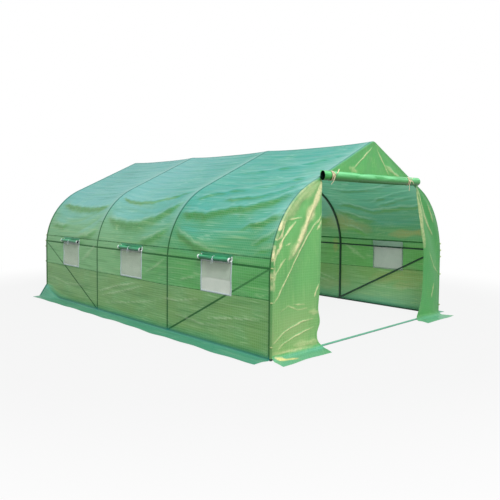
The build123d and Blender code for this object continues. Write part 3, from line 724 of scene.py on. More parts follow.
for side, name in ((-1, "left"), (1, "right")):
    atCorner = ease(1.75, 2.2, columnYs) * (side < 0)  # the left back corner stands off the ground
    fillet = wallSet["fillet"] + 0.004 * np.sin(2.9 * columnYs + side)
    uneven = 0.006 * np.sin(2.2 * columnYs + 2 * side) + 0.004 * np.sin(6.1 * columnYs)
    skirt = wallSet["skirt"] - 0.02 * atCorner + uneven + 0.003 * np.sin(13 * columnYs + side)
    edge = fillet * (1 - math.pi / 2) - (skirt - fillet)
    lowRows = edge + (fillet - edge) * np.linspace(0, 1, 40)[:, None]
    nextRows = fillet + (footTop - fillet) * np.linspace(0, 1, 9)[1:-1, None]
    h = np.concatenate([lowRows, nextRows, np.repeat(wallHeights[:, None], len(columnYs), 1)])
    along = np.repeat(columnYs[None], len(h), 0)
    run, z = footCurve(h, fillet)
    footRows = len(lowRows) + len(nextRows)
    fromTop = slantRun[-1] * np.linspace(1, 0, footRows + 1)[:-1, None]
    run[:footRows] += (np.interp(fromTop, slantRun, slantX) - run[:footRows]) * atCorner
    z[:footRows] += (np.interp(fromTop, slantRun, slantZ) - z[:footRows]) * atCorner
    bump, paintedLight = creaseField(along if side < 0 else -along, h, wallSet["creases"], wallSet["shake"])
    points = coverPoint(np.maximum(h, 0), along, bump)
    points[..., 0] -= run
    wave = 0.5 + 0.5 * np.sin(9 * along + 12 * run + side) * np.sin(3.7 * along + 1)
    ripple = 0.003 + 0.009 * ease(0.0, 0.1, run) * wave * (1 - 0.6 * atCorner)
    points[..., 2] = np.where(h < footTop, z, points[..., 2]) + ripple
    hem = np.clip(1 - np.abs((h - edge) - hemAt) / hemHalf, 0, 1) * hemShare * (1 - atCorner)  # skirt's stitched edge
    rest = np.exp(-(((h - railShadowAt) / railShadowWide) ** 2)) * railShadowShare * (1 - atCorner)  # base rail under the turn, showing through the film as a painted shadow
    skirtShade = wallSet["skirtShadeStrength"] * ease(0.012, -0.01, h)  # painted shade on the skirt that lies on the ground
    # Painted sky reflection: bluer as the film looks up, over the turn, low on the right wall and over the slack front
    # bay
    paintedSky = np.minimum(upwardness(points), 0.55)
    paintedSky += 0.2 * ease(0.12, 0.04, h) * ease(0.004, 0.014, h)  # painted sky reflection, bluer over the turn
    paintedSky += 0.08 * ease(0.32, 0.05, h) * ease(0.0, 0.02, h) * (side > 0)
    paintedSky += 0.7 * slackSkyPaint(np.where(h > wallSet["head"], 0.93, 0), along) * (side < 0)
    # painted sheen, paler low on the right wall
    lowSheenRight = 0.6 * ease(0.44, 0.04, h) * (side > 0)
    points[..., 0] *= -side
    quads = gridFaces(*h.shape, flip=side > 0)
    rows, columns = quads.min(1) // len(columnYs), quads.min(1) % len(columnYs)
    midH = (h[rows, 0] + h[np.minimum(rows + 1, len(h) - 1), 0]) / 2
    midY = (columnYs[columns] + columnYs[columns + 1]) / 2
    inWindow = (midH > wallSet["sill"]) & (midH < wallSet["head"])
    inWindow &= np.abs(midY[:, None] - windowYs).min(1) < roofSet["windowHalf"]
    makePiece(
        name + "WallFilm", points, quads[~inWindow], coverFilm, "cover_film", np.stack([along, h], -1),
        dict(
            paintedSky=paintedSky, dark=np.maximum(hem + skirtShade, rest), paintedLight=paintedLight, paintedSheen=lowSheenRight,
            warm=warmth(2 * halfGirth - h, along) * (side > 0),
        ),
        [name + "_window_band", name + "_wall_sheet", name + "_skirt"],
    )
print("wall films made")


# Values that all end panels share: shake of their creases, fade of folds at the hoop, hem of a free edge, slit height
panelSet = dict(shake=0.0014, rim=0.10, hemIn=0.020, hemHalf=0.010, hemShare=0.4, slit=0.014)
skirtSet = dict(fillet=0.05, reach=0.185, blend=0.12, rows=30)


# End panel: level rows between two edges, each edge either free or carried round the hoop tube as a quarter circle,
# with a turn at the ground and a skirt below. An edge is (heights, x), or None along the hoop. Front panels look to -Y,
# back ones to +Y.
def endPanel(name, facing, girths, edges, columns, fold, creases, replaced, skirt=None, wraps=(True, True), shade=0.0):
    x0, z0, nx, nz = outline(girths, hoopInset)
    left = x0 if edges[0] is None else np.minimum(smoothLine(*edges[0], z0), -x0)
    right = -x0 if edges[1] is None else np.maximum(smoothLine(*edges[1], z0), x0)
    share = np.linspace(0, 1, columns)
    x = left[:, None] + (right - left)[:, None] * share
    z = np.repeat(z0[:, None], columns, 1)
    run = np.zeros_like(x)
    if skirt is not None:
        fillet, reach = skirt["fillet"], skirt["reach"]
        first = int(np.searchsorted(z0, skirt["blend"]))
        foot = np.linspace(0, 1, skirt["rows"])[:-1, None]
        edge = fillet * (1 - math.pi / 2) - (reach - fillet)
        h = edge + (z0[first] - edge) * np.repeat(foot, columns, 1)
        runLow, zLow = footCurve(h, fillet)
        flare = np.clip(runLow / reach, 0, 1)[:, :1]
        lowLeft, lowRight = (
            (top if keys is None else smoothLine(*keys, zLow[:, :1])) + spread * flare
            for top, keys, spread in zip((left[first], right[first]), edges, skirt["flare"])
        )
        xLow = lowLeft + (lowRight - lowLeft) * share
        wave = 0.5 + 0.5 * np.sin(11 * xLow + 14 * runLow) * np.sin(4.3 * xLow + 0.7)
        zLow = zLow + 0.003 + 0.008 * ease(0.02, 0.12, runLow) * wave
        x, z, run = (np.concatenate([low, over[first:]]) for low, over in ((xLow, x), (zLow, z), (runLow, run)))
        nx, nz, x0 = (np.concatenate([np.full(len(foot), a[0]), a[first:]]) for a in (nx, nz, x0))
        z0 = np.concatenate([zLow[:, 0], z0[first:]])
    bump, paintedLight = creaseField(x, z - run, creases, panelSet["shake"])
    rim = np.ones_like(x)  # folds fade out at the hoop
    for side, wrapped in zip((-1, 1), wraps):
        if wrapped:
            rim *= ease(0.0, panelSet["rim"], np.abs(x + side * x0[:, None]))
    lift = (fold(x, z) + bump) * rim
    turn = np.linspace(0, math.pi / 2, 7)[:-1]
    inward = filmGap * np.cos(turn)
    parts = [np.stack([x, facing * (hoopEnd + filmGap + run + lift), z], -1)]
    for side, wrapped in zip((-1, 1), wraps):
        if wrapped:
            ring = np.stack(np.broadcast_arrays(
                -side * (x0[:, None] + inward * nx[:, None]),
                facing * (hoopEnd + filmGap * np.sin(turn)),
                z0[:, None] + inward * nz[:, None],
            ), -1)
            parts = [ring] + parts if side < 0 else parts + [ring[:, ::-1]]
    points = np.concatenate(parts, 1)
    before, after = (len(turn) * wrapped for wrapped in wraps)
    # painted shade: with shade above 0 the panel is deepened above its skirt, fading out on the skirt
    dark = shade * ease(0.06, 0.0, run)
    for edge, wrapped in zip((x[:, :1], x[:, -1:]), wraps):
        if not wrapped:  # hem of a free edge
            hem = np.clip(1 - np.abs(np.abs(x - edge) - panelSet["hemIn"]) / panelSet["hemHalf"], 0, 1)
            dark = np.maximum(dark, panelSet["hemShare"] * hem)
    quads = gridFaces(*points.shape[:2], flip=facing < 0)
    if skirt is not None:  # the corner is slit below the turn
        row, column = quads.min(1) // points.shape[1], quads.min(1) % points.shape[1]
        inWrap = (column < before) | (column >= points.shape[1] - after - 1) * (after > 0)
        quads = quads[~(inWrap & (z[row, 0] < panelSet["slit"]))]
    steps = np.pad(np.cumsum(np.linalg.norm(np.diff(points, axis=1), axis=2), 1), ((0, 0), (1, 0)))
    climb = np.pad(np.cumsum(np.linalg.norm(np.diff(points[:, before], axis=0), axis=1)), (1, 0))
    uv = np.stack(np.broadcast_arrays(steps + points[:, :1, 0], climb[:, None]), -1)
    beside = ((0, 0), (before, after))
    marks = {key: np.pad(mark, beside, mode="edge") for key, mark in (("paintedLight", paintedLight), ("dark", dark))}
    marks["bar"] = np.pad(np.zeros_like(x), beside, constant_values=1.0)
    # painted sky reflection: bluer as the panel looks up
    marks["paintedSky"] = upwardness(points, flip=facing < 0)
    return makePiece(name, points, quads, endFilm, "cover_film", uv, marks, replaced)


# Folds that fan out from a door corner: waves by bearing from it, fading further off, and waves by x towards the foot
def cornerFold(x, z, side, rise, waves, start, fade, footWaves, footStart):
    (cornerX, cornerZ), (gatherX, gatherZ) = doorSet["corner"], doorSet["gather"]
    fromCorner = np.hypot(x - side * cornerX, z - cornerZ)
    bearing = np.arctan2(side * x - gatherX, gatherZ - z)
    fan = np.sin(waves * bearing + start) * (1 - fade * ease(0.9, 1.5, fromCorner))
    foot = 0.006 * ease(0.6, 0.1, z) * np.sin(footWaves * x + footStart)
    return rise * ease(0.05, 0.5, fromCorner) * fan + foot


doorSet = dict(half=0.85, step=0.0065, corner=(0.85, 1.6), gather=(0.84, 1.62))
cornerRun = (-doorSet["half"] + bendX - (bend - hoopInset) * math.cos(math.pi / 2 + slope)) / math.cos(slope)
cornerGirth = bendEnd + cornerRun  # where the hoop passes the door's corner

# Left flap: gathered at the door's top corner, so that folds fan out from there with cream painted highlights. A crease
# is a line of (x, z) with its width, rise and paleness, a painted highlight
leftFlapSet = dict(
    fold=dict(side=-1, rise=0.010, waves=13, start=0.6, fade=0.6, footWaves=9, footStart=2),
    edgeZ=(0.0, 0.065, 0.147, 0.241, 0.374, 0.487, 0.693, 0.87, 1.1, 1.4, 1.6),
    edgeX=(-0.80, -0.871, -0.889, -0.852, -0.878, -0.869, -0.857, -0.855, -0.850, -0.846, -0.85),
    creases=[
        ([(-0.838, 1.58), (-0.850, 1.531), (-0.888, 1.445), (-0.934, 1.358), (-0.975, 1.293), (-1.016, 1.234),
          (-1.083, 1.12), (-1.14, 1.03), (-1.24, 0.89)], 0.036, 0.012, 1.5),
        ([(-0.93, 1.375), (-0.975, 1.293), (-1.022, 1.222), (-1.078, 1.125), (-1.125, 1.05)], 0.058, 0.002, 1.3),
        ([(-1.05, 1.13), (-1.12, 1.04), (-1.20, 0.95), (-1.29, 0.86)], 0.050, 0.004, 0.5),
        ([(-0.90, 1.20), (-0.985, 1.101), (-1.071, 1.002), (-1.185, 0.867), (-1.288, 0.728), (-1.371, 0.623),
          (-1.419, 0.548), (-1.466, 0.494)], 0.0085, 0.006, 1.0),
        ([(-0.886, 1.536), (-1.00, 1.475), (-1.089, 1.42), (-1.175, 1.345), (-1.25, 1.27),
          (-1.315, 1.215)], 0.060, 0.010, 0.48),
        ([(-1.24, 1.345), (-1.30, 1.27), (-1.35, 1.19)], 0.045, 0.004, 0.52),
        ([(-1.30, 1.201), (-1.127, 1.219)], 0.008, 0.003, 0.7),
        ([(-1.325, 1.20), (-1.375, 1.15), (-1.42, 1.10), (-1.455, 1.03)], 0.022, 0.005, 0.9),
        ([(-1.335, 1.185), (-1.354, 1.122), (-1.375, 1.06), (-1.435, 1.03)], 0.014, 0.004, 0.9),
        ([(-1.20, 1.185), (-1.327, 1.07), (-1.361, 1.026), (-1.39, 0.975), (-1.433, 0.916),
          (-1.466, 0.845)], 0.012, 0.005, 0.95),
        ([(-1.37, 1.02), (-1.40, 0.96), (-1.44, 0.91)], 0.022, 0.003, 0.8),
        ([(-1.458, 0.99), (-1.470, 0.91), (-1.468, 0.82)], 0.016, 0.002, 0.8),
        ([(-0.845, 1.254), (-0.902, 1.178), (-0.972, 1.119)], 0.007, 0.003, 0.6),
        ([(-0.858, 1.19), (-0.886, 1.135), (-0.912, 1.105)], 0.014, 0.003, 0.75),
        ([(-1.266, 0.999), (-1.326, 0.979)], 0.007, 0.002, 0.6),
        ([(-1.33, 0.872), (-1.394, 0.817), (-1.468, 0.711)], 0.008, 0.003, 0.7),
        ([(-1.46, 0.80), (-1.472, 0.70), (-1.470, 0.60)], 0.020, 0.002, 0.5),
        ([(-0.88, 0.605), (-0.916, 0.546), (-0.942, 0.49)], 0.010, 0.004, 0.85),
        ([(-1.213, 0.454), (-1.06, 0.435)], 0.006, 0.002, 0.5),
        ([(-1.376, 0.412), (-1.283, 0.448), (-1.159, 0.399), (-1.031, 0.398)], 0.006, 0.002, 0.5),
        ([(-1.0, 0.36), (-0.93, 0.35), (-0.88, 0.345)], 0.030, 0.003, 0.35),
        ([(-0.942, 0.294), (-1.084, 0.287), (-1.21, 0.258), (-1.339, 0.226), (-1.467, 0.148)], 0.008, 0.005, 0.8),
        ([(-0.945, 0.214), (-1.091, 0.186), (-1.234, 0.156), (-1.363, 0.119), (-1.415, 0.085)], 0.008, 0.005, 0.8),
        ([(-1.20, 0.085), (-1.025, 0.078), (-0.89, 0.075)], 0.034, 0.004, 0.4),
        ([(-1.47, 0.058), (-1.336, 0.051), (-1.188, 0.040), (-0.95, 0.03)], 0.016, 0.002, 0.45),
        ([(-1.455, 0.02), (-1.38, -0.045), (-1.27, -0.095)], 0.034, 0.004, 1.3),  # below 0 lies on the skirt
    ],
)
flapGirths = stations([0.0, cornerGirth], doorSet["step"])
leftFlap = endPanel(
    "leftFlapFilm", -1, flapGirths, (None, (leftFlapSet["edgeZ"], leftFlapSet["edgeX"])), 120,
    functools.partial(cornerFold, **leftFlapSet["fold"]), leftFlapSet["creases"],
    ["front_left_flap", "front_left_skirt"], dict(skirtSet, flare=(-0.06, -0.10)), (True, False),
)
print("left flap made")

# Right flap: drawn back to a waist, so its inner edge bows out and one broad fold with a painted highlight falls from
# the corner
rightFlapSet = dict(
    fold=dict(side=1, rise=0.011, waves=15, start=2.1, fade=0.5, footWaves=11, footStart=0),
    edgeZ=(0.0, 0.055, 0.207, 0.414, 0.649, 0.814, 1.049, 1.313, 1.5, 1.6),
    edgeX=(0.93, 0.975, 1.055, 1.088, 1.086, 1.072, 1.000, 0.918, 0.866, 0.85),
    creases=[
        ([(0.85, 1.55), (0.933, 1.461), (1.058, 1.233), (1.184, 1.091), (1.285, 0.994)], 0.028, 0.014, 0.6),
        ([(0.86, 1.54), (0.905, 1.40), (0.965, 1.22), (1.035, 1.03), (1.085, 0.86)], 0.044, 0.008, 0.7),
        ([(1.123, 1.349), (1.278, 1.137)], 0.012, 0.005, 0.5),
        ([(1.328, 0.405), (1.275, 0.231)], 0.010, 0.004, 0.6),
        ([(1.20, 0.78), (1.32, 0.60), (1.44, 0.52)], 0.012, 0.004, 0.3),
    ],
)
# the right flap is painted deeper over its panel, a painted shade
rightFlap = endPanel(
    "rightFlapFilm", -1, flapGirths, ((rightFlapSet["edgeZ"], rightFlapSet["edgeX"]), None), 72,
    functools.partial(cornerFold, **rightFlapSet["fold"]), rightFlapSet["creases"],
    ["front_right_flap", "front_right_skirt"], dict(skirtSet, flare=(-0.06, 0.03)), (False, True), 0.45,
)
print("right flap made")

# Gable over the door: taut triangle with two creases down from the ridge
gableSet = dict(
    step=0.0105,
    creases=[
        ([(-0.041, 1.922), (-0.163, 1.828), (-0.351, 1.692)], 0.009, 0.004, 0.6),
        ([(0.05, 1.915), (0.16, 1.792), (0.287, 1.659)], 0.009, 0.004, 0.55),
        ([(0.215, 1.752), (0.399, 1.672), (0.5, 1.64)], 0.022, 0.006, 0.45),
        ([(-0.42, 1.70), (-0.30, 1.66)], 0.03, 0.004, 0.35),
    ],
)


# Waves by bearing from the ridge, fading in below it
def gableFold(x, z):
    return 0.004 * np.sin(10 * np.arctan2(x, 2.02 - z)) * ease(0.0, 0.3, 2.0 - z)


gableFilm = endPanel(
    "gableFilm", -1, stations([cornerGirth - 0.012, halfGirth], gableSet["step"]), (None, None), 150, gableFold,
    gableSet["creases"], ["front_gable_sheet"],
)
print("gable made")

# Back end: one closed panel with its skirt, hung from the hoop, slack folds falling from the shoulders
backSet = dict(
    step=0.017,
    creases=[
        ([(-0.9, 1.55), (-0.6, 1.15), (-0.35, 0.7), (-0.2, 0.3)], 0.04, 0.012, 0.10),
        ([(0.85, 1.56), (0.65, 1.2), (0.45, 0.8), (0.2, 0.35)], 0.04, 0.012, 0.10),
        ([(-1.35, 1.0), (-1.0, 0.72), (-0.75, 0.45)], 0.014, 0.006, 0.16),
        ([(1.35, 1.0), (1.05, 0.7), (0.8, 0.4)], 0.014, 0.006, 0.16),
        ([(-0.1, 1.9), (-0.3, 1.5), (-0.38, 1.1)], 0.018, 0.005, 0.14),
        ([(0.1, 1.9), (0.25, 1.5), (0.3, 1.2)], 0.018, 0.005, 0.14),
        ([(-1.44, 0.16), (-1.1, 0.30), (-0.7, 0.36)], 0.012, 0.005, 0.16),
        ([(1.44, 0.18), (1.15, 0.33), (0.75, 0.4)], 0.012, 0.005, 0.16),
    ],
)


# Two crossing waves, and upright ones that grow towards the foot
def backFold(x, z):
    slackWaves = 0.010 * np.sin(4.2 * x + 1.5 * z) * np.sin(2.6 * z + 0.4)
    return slackWaves + 0.006 * np.sin(9.5 * x - 2 * z) * ease(1.7, 0.2, z)


backFilm = endPanel(
    "backFilm", 1, stations([0.0, halfGirth], backSet["step"]), (None, None), 176, backFold, backSet["creases"],
    ["back_sheet", "back_skirt"], dict(skirtSet, rows=24, flare=(-0.02, 0.02)),
)
print("back panel made")


# Rolled sheet: down the wall as a tail, then a spiral from the outer radius to the inner, carried along the roll.
# Local axes are along the roll, out from the wall and up; the arrays come back for the caller to place.
def spiralRoll(values, stops):
    turns, outer, inner = values["turns"], values["outer"], values["inner"]
    angle = np.linspace(0, 2 * math.pi * turns, int(turns * values["sides"]) + 1)
    tail = np.linspace(values["tail"], 0, 7)[:-1]
    radius = outer - (outer - inner) * angle / angle[-1]
    a, s = np.meshgrid(angle, stops, indexing="ij")
    waves = np.sin(3 * a + 9 * s) + 0.7 * np.sin(5 * a - 17 * s + 1) + 0.6 * np.sin(2 * a + 31 * s)
    pinch = sum(np.exp(-(((s - tie) / 0.022) ** 2)) for tie in values["ties"])
    r = radius[:, None] * (1 - 0.10 * pinch) * (1 + values["crumple"] * waves * ease(0, 1.2, a))
    flat = 1 - values["pinched"] * np.exp(-(((stops - stops[0]) / 0.06) ** 2))  # the first end is squeezed flat
    bow = values["bow"] * (np.cos(math.pi * stops / np.ptp(stops)) - 0.35)
    out = np.concatenate([np.zeros((len(tail), len(stops))), (outer + r * np.cos(math.pi + a)) * flat])
    up = np.concatenate([np.repeat(tail[:, None], len(stops), 1), r * np.sin(math.pi + a) + bow])
    laid = np.concatenate([-tail, np.cumsum(radius) * (angle[1] - angle[0])])
    uv = np.stack(np.broadcast_arrays(stops[None], laid[:, None]), -1)
    coreShade = ease(2 * math.pi * 0.98, 2 * math.pi * 1.5, angle)  # painted shade inside the first turn
    low = 0.9 * ease(-0.55, 0.45, np.sin(angle))  # painted shade on the under side
    coreShade, low = (np.repeat(np.pad(mark, (len(tail), 0))[:, None], len(stops), 1) for mark in (coreShade, low))
    return out, up, uv, coreShade, low


# Door rolled up under the gable and tied twice, its ends open
doorRollSet = dict(
    outer=0.046, inner=0.027, turns=6.4, sides=30, tail=0.05, crumple=0.007, ties=(-0.78, 0.565), bow=-0.004,
    pinched=0.35, ends=(-0.872, 0.797), height=1.6016, gap=0.0006,
)
stops = np.linspace(*doorRollSet["ends"], 112)
out, up, uv, coreShade, low = spiralRoll(doorRollSet, stops)
tailY = -tunnel["halfLength"] - doorRollSet["gap"]
points = np.stack(np.broadcast_arrays(stops, tailY - out, doorRollSet["height"] + up), -1)
doorRoll = makePiece(
    "doorRoll", points, gridFaces(*out.shape), rolledFilms["rolledDoorFilm"], "rolled_film", uv,
    dict(coreShade=coreShade, low=low, bound=np.zeros_like(out)), ["door_roll"],
)

# Cream ties round the door roll: two turns crossing, a knot in front and loose tails. A tail's keys are (along, out,
# up) from the knot
tieSet = dict(
    width=0.016, thick=0.0016, loop=0.046075, knot=0.047025, lean=0.016, knotWidth=0.009, tailWidth=0.010,
    knots=((0.011, 0.4), (0.009, -0.7)), tails=([
        [(0, 0.006, 0.0), (-0.012, 0.012, -0.03), (-0.03, 0.010, -0.062), (-0.058, 0.006, -0.088)],
        [(0, 0.006, 0.0), (0.02, 0.016, 0.016), (0.045, 0.012, 0.040), (0.062, 0.006, 0.058)],
    ], [
        [(0, 0.006, 0.0), (-0.014, 0.014, -0.014), (-0.026, 0.012, -0.05), (-0.028, 0.010, -0.115)],
        [(0, 0.006, 0.0), (0.024, 0.016, -0.006), (0.048, 0.012, -0.022), (0.07, 0.006, -0.028)],
        [(0, 0.006, 0.0), (0.012, 0.016, 0.018), (0.03, 0.010, 0.034)],
    ]),
)
turn = np.linspace(0, 2 * math.pi, 40, endpoint=False)
cosTurn, sinTurn = np.cos(turn), np.sin(turn)
rollY = tailY - doorRollSet["outer"]
parts = []
for x, tails in zip(doorRollSet["ties"], tieSet["tails"]):
    for lean in (-tieSet["lean"], tieSet["lean"]):
        loopY = np.minimum(rollY - tieSet["loop"] * cosTurn, -tunnel["halfLength"] - 0.001)
        loop = np.stack([x + lean * cosTurn, loopY, doorRollSet["height"] + tieSet["loop"] * sinTurn], -1)
        parts.append(tapeAlong(loop, (1, 0, 0), tieSet["width"], tieSet["thick"], True))
    knot = np.array([x, rollY - tieSet["knot"], doorRollSet["height"] + 0.004])
    for size, tilt in tieSet["knots"]:
        across, up = size * cosTurn * math.cos(tilt), size * sinTurn + size * 0.4 * cosTurn * math.sin(tilt)
        loop = knot + np.stack([across, -0.003 - 0.003 * np.sin(turn * 2), up], -1)
        parts.append(tapeAlong(loop, (0, 1, 0), tieSet["knotWidth"], tieSet["thick"] * 1.6, True))
    for tail in tails:
        path = knot + smoothPath(np.array(tail) * (1, -1, 1), 18)
        parts.append(tapeAlong(path, (0.9, 0, 0.45), tieSet["tailWidth"], tieSet["thick"]))
doorTies = makePiece("doorTies", *joinParts(parts), tapes["creamTieTape"], "tie_tape", replaced=["door_ties"])
print("door roll and ties made")

# Six windows: net behind the opening, white binding round it, the flap rolled up over it and tied in the middle
windowSet = dict(
    half=roofSet["windowHalf"], low=wallSet["sill"], high=wallSet["head"], margin=0.008, tapeHalf=0.0084,
    tapeHigh=0.838, netBack=0.0025,
)
windowRollSet = dict(
    outer=0.0245, inner=0.013, turns=3.0, sides=26, tail=0.050, crumple=0.018, ties=(0.0,), bow=-0.003, pinched=0.0,
    half=0.2285, height=0.825, bound=0.212,
)
windowTieSet = dict(
    width=0.010, thick=0.0014, tailWidth=0.008, tailThick=0.0012, tails=((-0.012, 0.042), (0.014, 0.052))
)
nets, windowRolls, bindingParts, windowTieParts = [], [], [], []
margin = windowSet["margin"]
netWide, netLow, netHigh = windowSet["half"] + margin, windowSet["low"] - margin, windowSet["high"] + margin
tapeMiddle, tapeReach = (windowSet["tapeHigh"] + windowSet["low"]) / 2, (windowSet["tapeHigh"] - windowSet["low"]) / 2
for side, name in ((-1, "left"), (1, "right")):
    for number, middle in enumerate(windowYs, 1):
        high, along = np.meshgrid(np.linspace(netLow, netHigh, 26), np.linspace(-netWide, netWide, 28), indexing="ij")
        girth = high if side < 0 else 2 * halfGirth - high
        bag = 0.004 * np.cos(math.pi * along / 0.46) * np.cos(math.pi * (high - 0.68) / 0.40)
        nets.append(makePiece(
            f"{name}Window{number}Net", coverPoint(girth, along + middle, -windowSet["netBack"] - bag),
            gridFaces(*high.shape, flip=side > 0), windowNet, "window_net", np.stack([along, high], -1), None,
            [f"{name}_window_{number}_net"],
        ))
        # binding: flattened ellipse carried round the opening, puckered by its stitching
        lap = np.linspace(0, 4, 168, endpoint=False)
        acrossShare, upShare = (np.clip(np.abs((lap + d) % 4 - 2) * 2 - 2, -1, 1)[:, None] for d in (0.5, -0.5))
        ring = np.linspace(0, 2 * math.pi, 10, endpoint=False)
        wide = windowSet["tapeHalf"] * np.cos(ring)
        pucker = 1 + 0.35 * np.sin(2 * math.pi * lap * 0.4 / 0.024)
        girth = tapeMiddle + upShare * (tapeReach + wide)
        girth = girth if side < 0 else 2 * halfGirth - girth
        y = middle + acrossShare * (windowSet["half"] + wide)
        bindingParts.append((
            coverPoint(girth, y, 0.0026 * np.sin(ring) * pucker[:, None]).reshape(-1, 3),
            gridFaces(len(lap), len(ring), True, True, flip=side > 0),
        ))
        # rolled flap
        stops = np.linspace(-windowRollSet["half"], windowRollSet["half"], 46)
        out, up, uv, coreShade, low = spiralRoll(windowRollSet, stops + 0.1 * number)
        seat = np.abs(coverPoint(np.array(windowRollSet["height"]), np.array(middle))[0]) + 0.0012
        points = np.broadcast_arrays(side * (seat + out), stops + middle, windowRollSet["height"] + up)
        bound = np.clip((np.abs(stops) - windowRollSet["bound"]) / 0.004, 0, 1) * (up < windowRollSet["outer"] + 0.001)
        windowRolls.append(makePiece(
            f"{name}Window{number}Roll", np.stack(points, -1), gridFaces(*out.shape, flip=side > 0),
            rolledFilms["rolledWindowFilm"], "rolled_film", uv, dict(coreShade=0.75 * coreShade, low=low, bound=bound),
            [f"{name}_window_{number}_roll"],
        ))
        # tie: a loop round the roll and two short tails
        reach = windowRollSet["outer"] + 0.0008
        hub = np.array([side * (seat + windowRollSet["outer"]), middle, windowRollSet["height"] - 0.002])
        loop = hub + np.stack([side * reach * cosTurn, 0.003 * sinTurn, reach * sinTurn], -1)
        loop[:, 0] = side * np.maximum(np.abs(loop[:, 0]), seat + 0.0006)
        windowTieParts.append(tapeAlong(loop, (0, 1, 0), windowTieSet["width"], windowTieSet["thick"], True))
        for lean, drop in windowTieSet["tails"]:
            keys = [(reach, 0, 0.004), (reach + 0.005, lean * 0.5, -0.010), (reach + 0.002, lean, -drop)]
            path = smoothPath(hub + np.array(keys) * (side, 1, 1), 12)
            windowTieParts.append(tapeAlong(path, (0, 1, 0), windowTieSet["tailWidth"], windowTieSet["tailThick"]))
windowBinding = makePiece("windowBinding", *joinParts(bindingParts), tapes["whiteBindingTape"], "tie_tape")
windowTies = makePiece("windowTies", *joinParts(windowTieParts), tapes["whiteBindingTape"], "tie_tape")
print("windows made")

# Tie tapes that come through the cover at the end hoops: a short band round the film's edge and a knot
hoopTieSet = dict(heights=(0.119, 0.498, 0.713, 0.793, 0.875), width=0.010, thick=0.0014, knot=0.006, over=0.0016)
knotTape = dict(width=0.007, thick=0.003)
parts = []
quarter = np.linspace(0.3, 1.75, 10)
reach = filmGap + hoopTieSet["over"]
outward, endward = reach * np.cos(quarter), reach * np.sin(quarter)
for facing in (-1, 1):
    for side in (-1, 1):
        for height in hoopTieSet["heights"]:
            x0, z0, nx, nz = outline(np.array(height), hoopInset)
            band = np.stack([-side * (x0 + nx * outward), facing * (hoopEnd + endward), z0 + nz * outward], -1)
            parts.append(tapeAlong(band, (0, 0, 1), hoopTieSet["width"], hoopTieSet["thick"]))
            knot = np.array([-side * (x0 + nx * reach * 0.75), facing * (hoopEnd + reach * 0.85), z0])
            loop = np.stack([0.5 * side * sinTurn, facing * 0.5 * (1 + sinTurn), cosTurn], -1)
            parts.append(tapeAlong(knot + hoopTieSet["knot"] * loop, (side, facing, 0.2), closed=True, **knotTape))
makePiece("hoopTies", *joinParts(parts), tapes["paleCordTape"], "tie_tape")

# Wing nuts inside the hoops, where the braces end; the hub is a profile of (radius, height)
nutSet = dict(
    inside=1.4465, wing=0.016, wingWidth=0.008, wingThick=0.0025,
    hub=[(0.0, 0.009), (0.004, 0.0085), (0.0052, 0.007), (0.0062, 0.0), (0.0, 0.0)],
)
parts = []
wing = nutSet["wing"]
for side in (-1, 1):
    inward = np.array([-side, 0.0, 0.0])
    for facing in (-1, 1):
        for y, z in ((facing * bay / 2, lineSet["braceFoot"]), (facing * (hoopEnd - 0.001), lineSet["rail"])):
            seat = np.array([side * nutSet["inside"], y, z])
            parts.append(turned(nutSet["hub"], seat, inward))
            for tilt in (-1, 1):
                away = np.array([-side * 0.008, tilt * wing * 0.55, tilt * wing * 0.8])
                path = seat + inward * 0.003 + np.linspace(0, 1, 6)[:, None] * away
                parts.append(tapeAlong(path, (1, 0, 0), nutSet["wingWidth"], nutSet["wingThick"]))
makePiece("wingNuts", *joinParts(parts), coatedSteel, "coated_steel")
print("ties and wing nuts made")
# 1 for what the camera sees, straight, mirrored or through film, and 0 for all other light
def seenDirectly(add):
    path = add("LightPath").node.outputs
    either = add("Math", (path["Is Camera Ray"], path["Is Glossy Ray"]), **most)
    return add("Math", (either, path["Is Transmission Ray"]), **most)


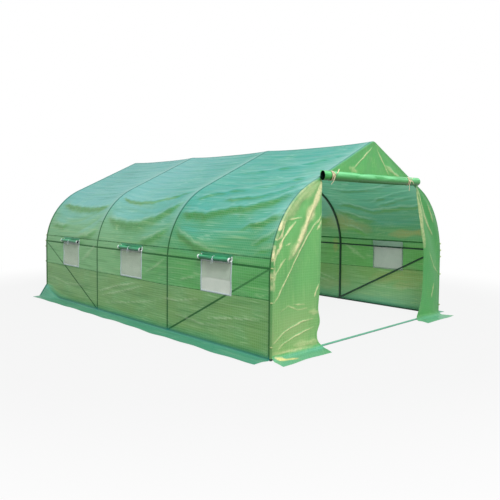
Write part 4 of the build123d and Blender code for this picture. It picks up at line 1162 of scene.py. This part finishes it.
# Floor: white, with a soft shadow near the tunnel. Seen directly it is lifted to white, and further off it is white
# alone, so no horizon shows; all other light sees grey card
floorSet = dict(reach=40.0, drop=-0.002, lift=0.88, near=3.4, far=6.0, card="#858585")
reach = floorSet["reach"]
corners = [(reach * x, reach * y, floorSet["drop"]) for x, y in ((-1, -1), (1, -1), (1, 1), (-1, 1))]
mesh = bpy.data.meshes.new("floor")
mesh.from_pydata(corners, [], [(0, 1, 2, 3)])
floor = bpy.data.objects.new("floor", mesh)
scene.collection.objects.link(floor)
whiteCard, add = newMaterial("whiteFloor")
spot = add("VectorMath", [add("TexCoord", output="Object")], "Value", operation="LENGTH")
lift = add("MapRange", (spot, floorSet["near"], floorSet["far"], floorSet["lift"], 1.0), **smooth)
seenShare = add("Math", (seenDirectly(add), lift), **times)
card = add("BsdfDiffuse", {"Color": floorSet["card"]})
white = add("Emission", {"Color": (1, 1, 1, 1), "Strength": 1.0})
add("OutputMaterial", [add("MixShader", (seenShare, card, white))])
mesh.materials.append(whiteCard)

# Soft studio light: an even white world and one large lamp high over the front left
lightSet = dict(world=0.85, lampPlace=(-4.5, -9.0, 9.0), lampSize=4.0, lampPower=1350.0)
world = bpy.data.worlds.new("studio")
scene.world = world
world.use_nodes = True
world.node_tree.nodes.clear()
add = functools.partial(addNode, world.node_tree)
strength = add("MapRange", (seenDirectly(add), None, None, lightSet["world"], 1.0))
add("OutputWorld", [add("Background", {"Color": (1, 1, 1, 1), "Strength": strength})])
lamp = bpy.data.objects.new("softLamp", bpy.data.lights.new("softLamp", "AREA"))
lamp.data.size = lightSet["lampSize"]
lamp.data.energy = lightSet["lampPower"]
lampAway = np.array(lightSet["lampPlace"]) - (0, 0, 0.8)
lampAway = lampAway / np.linalg.norm(lampAway)
lampSide = np.cross([0, 0, 1], lampAway)
lampSide = lampSide / np.linalg.norm(lampSide)
aim = np.eye(4)
aim[:3, 0], aim[:3, 1], aim[:3, 2], aim[:3, 3] = lampSide, np.cross(lampAway, lampSide), lampAway, lightSet["lampPlace"]
lamp.matrix_world = Matrix(aim.tolist())
scene.collection.objects.link(lamp)
print("floor and light set")
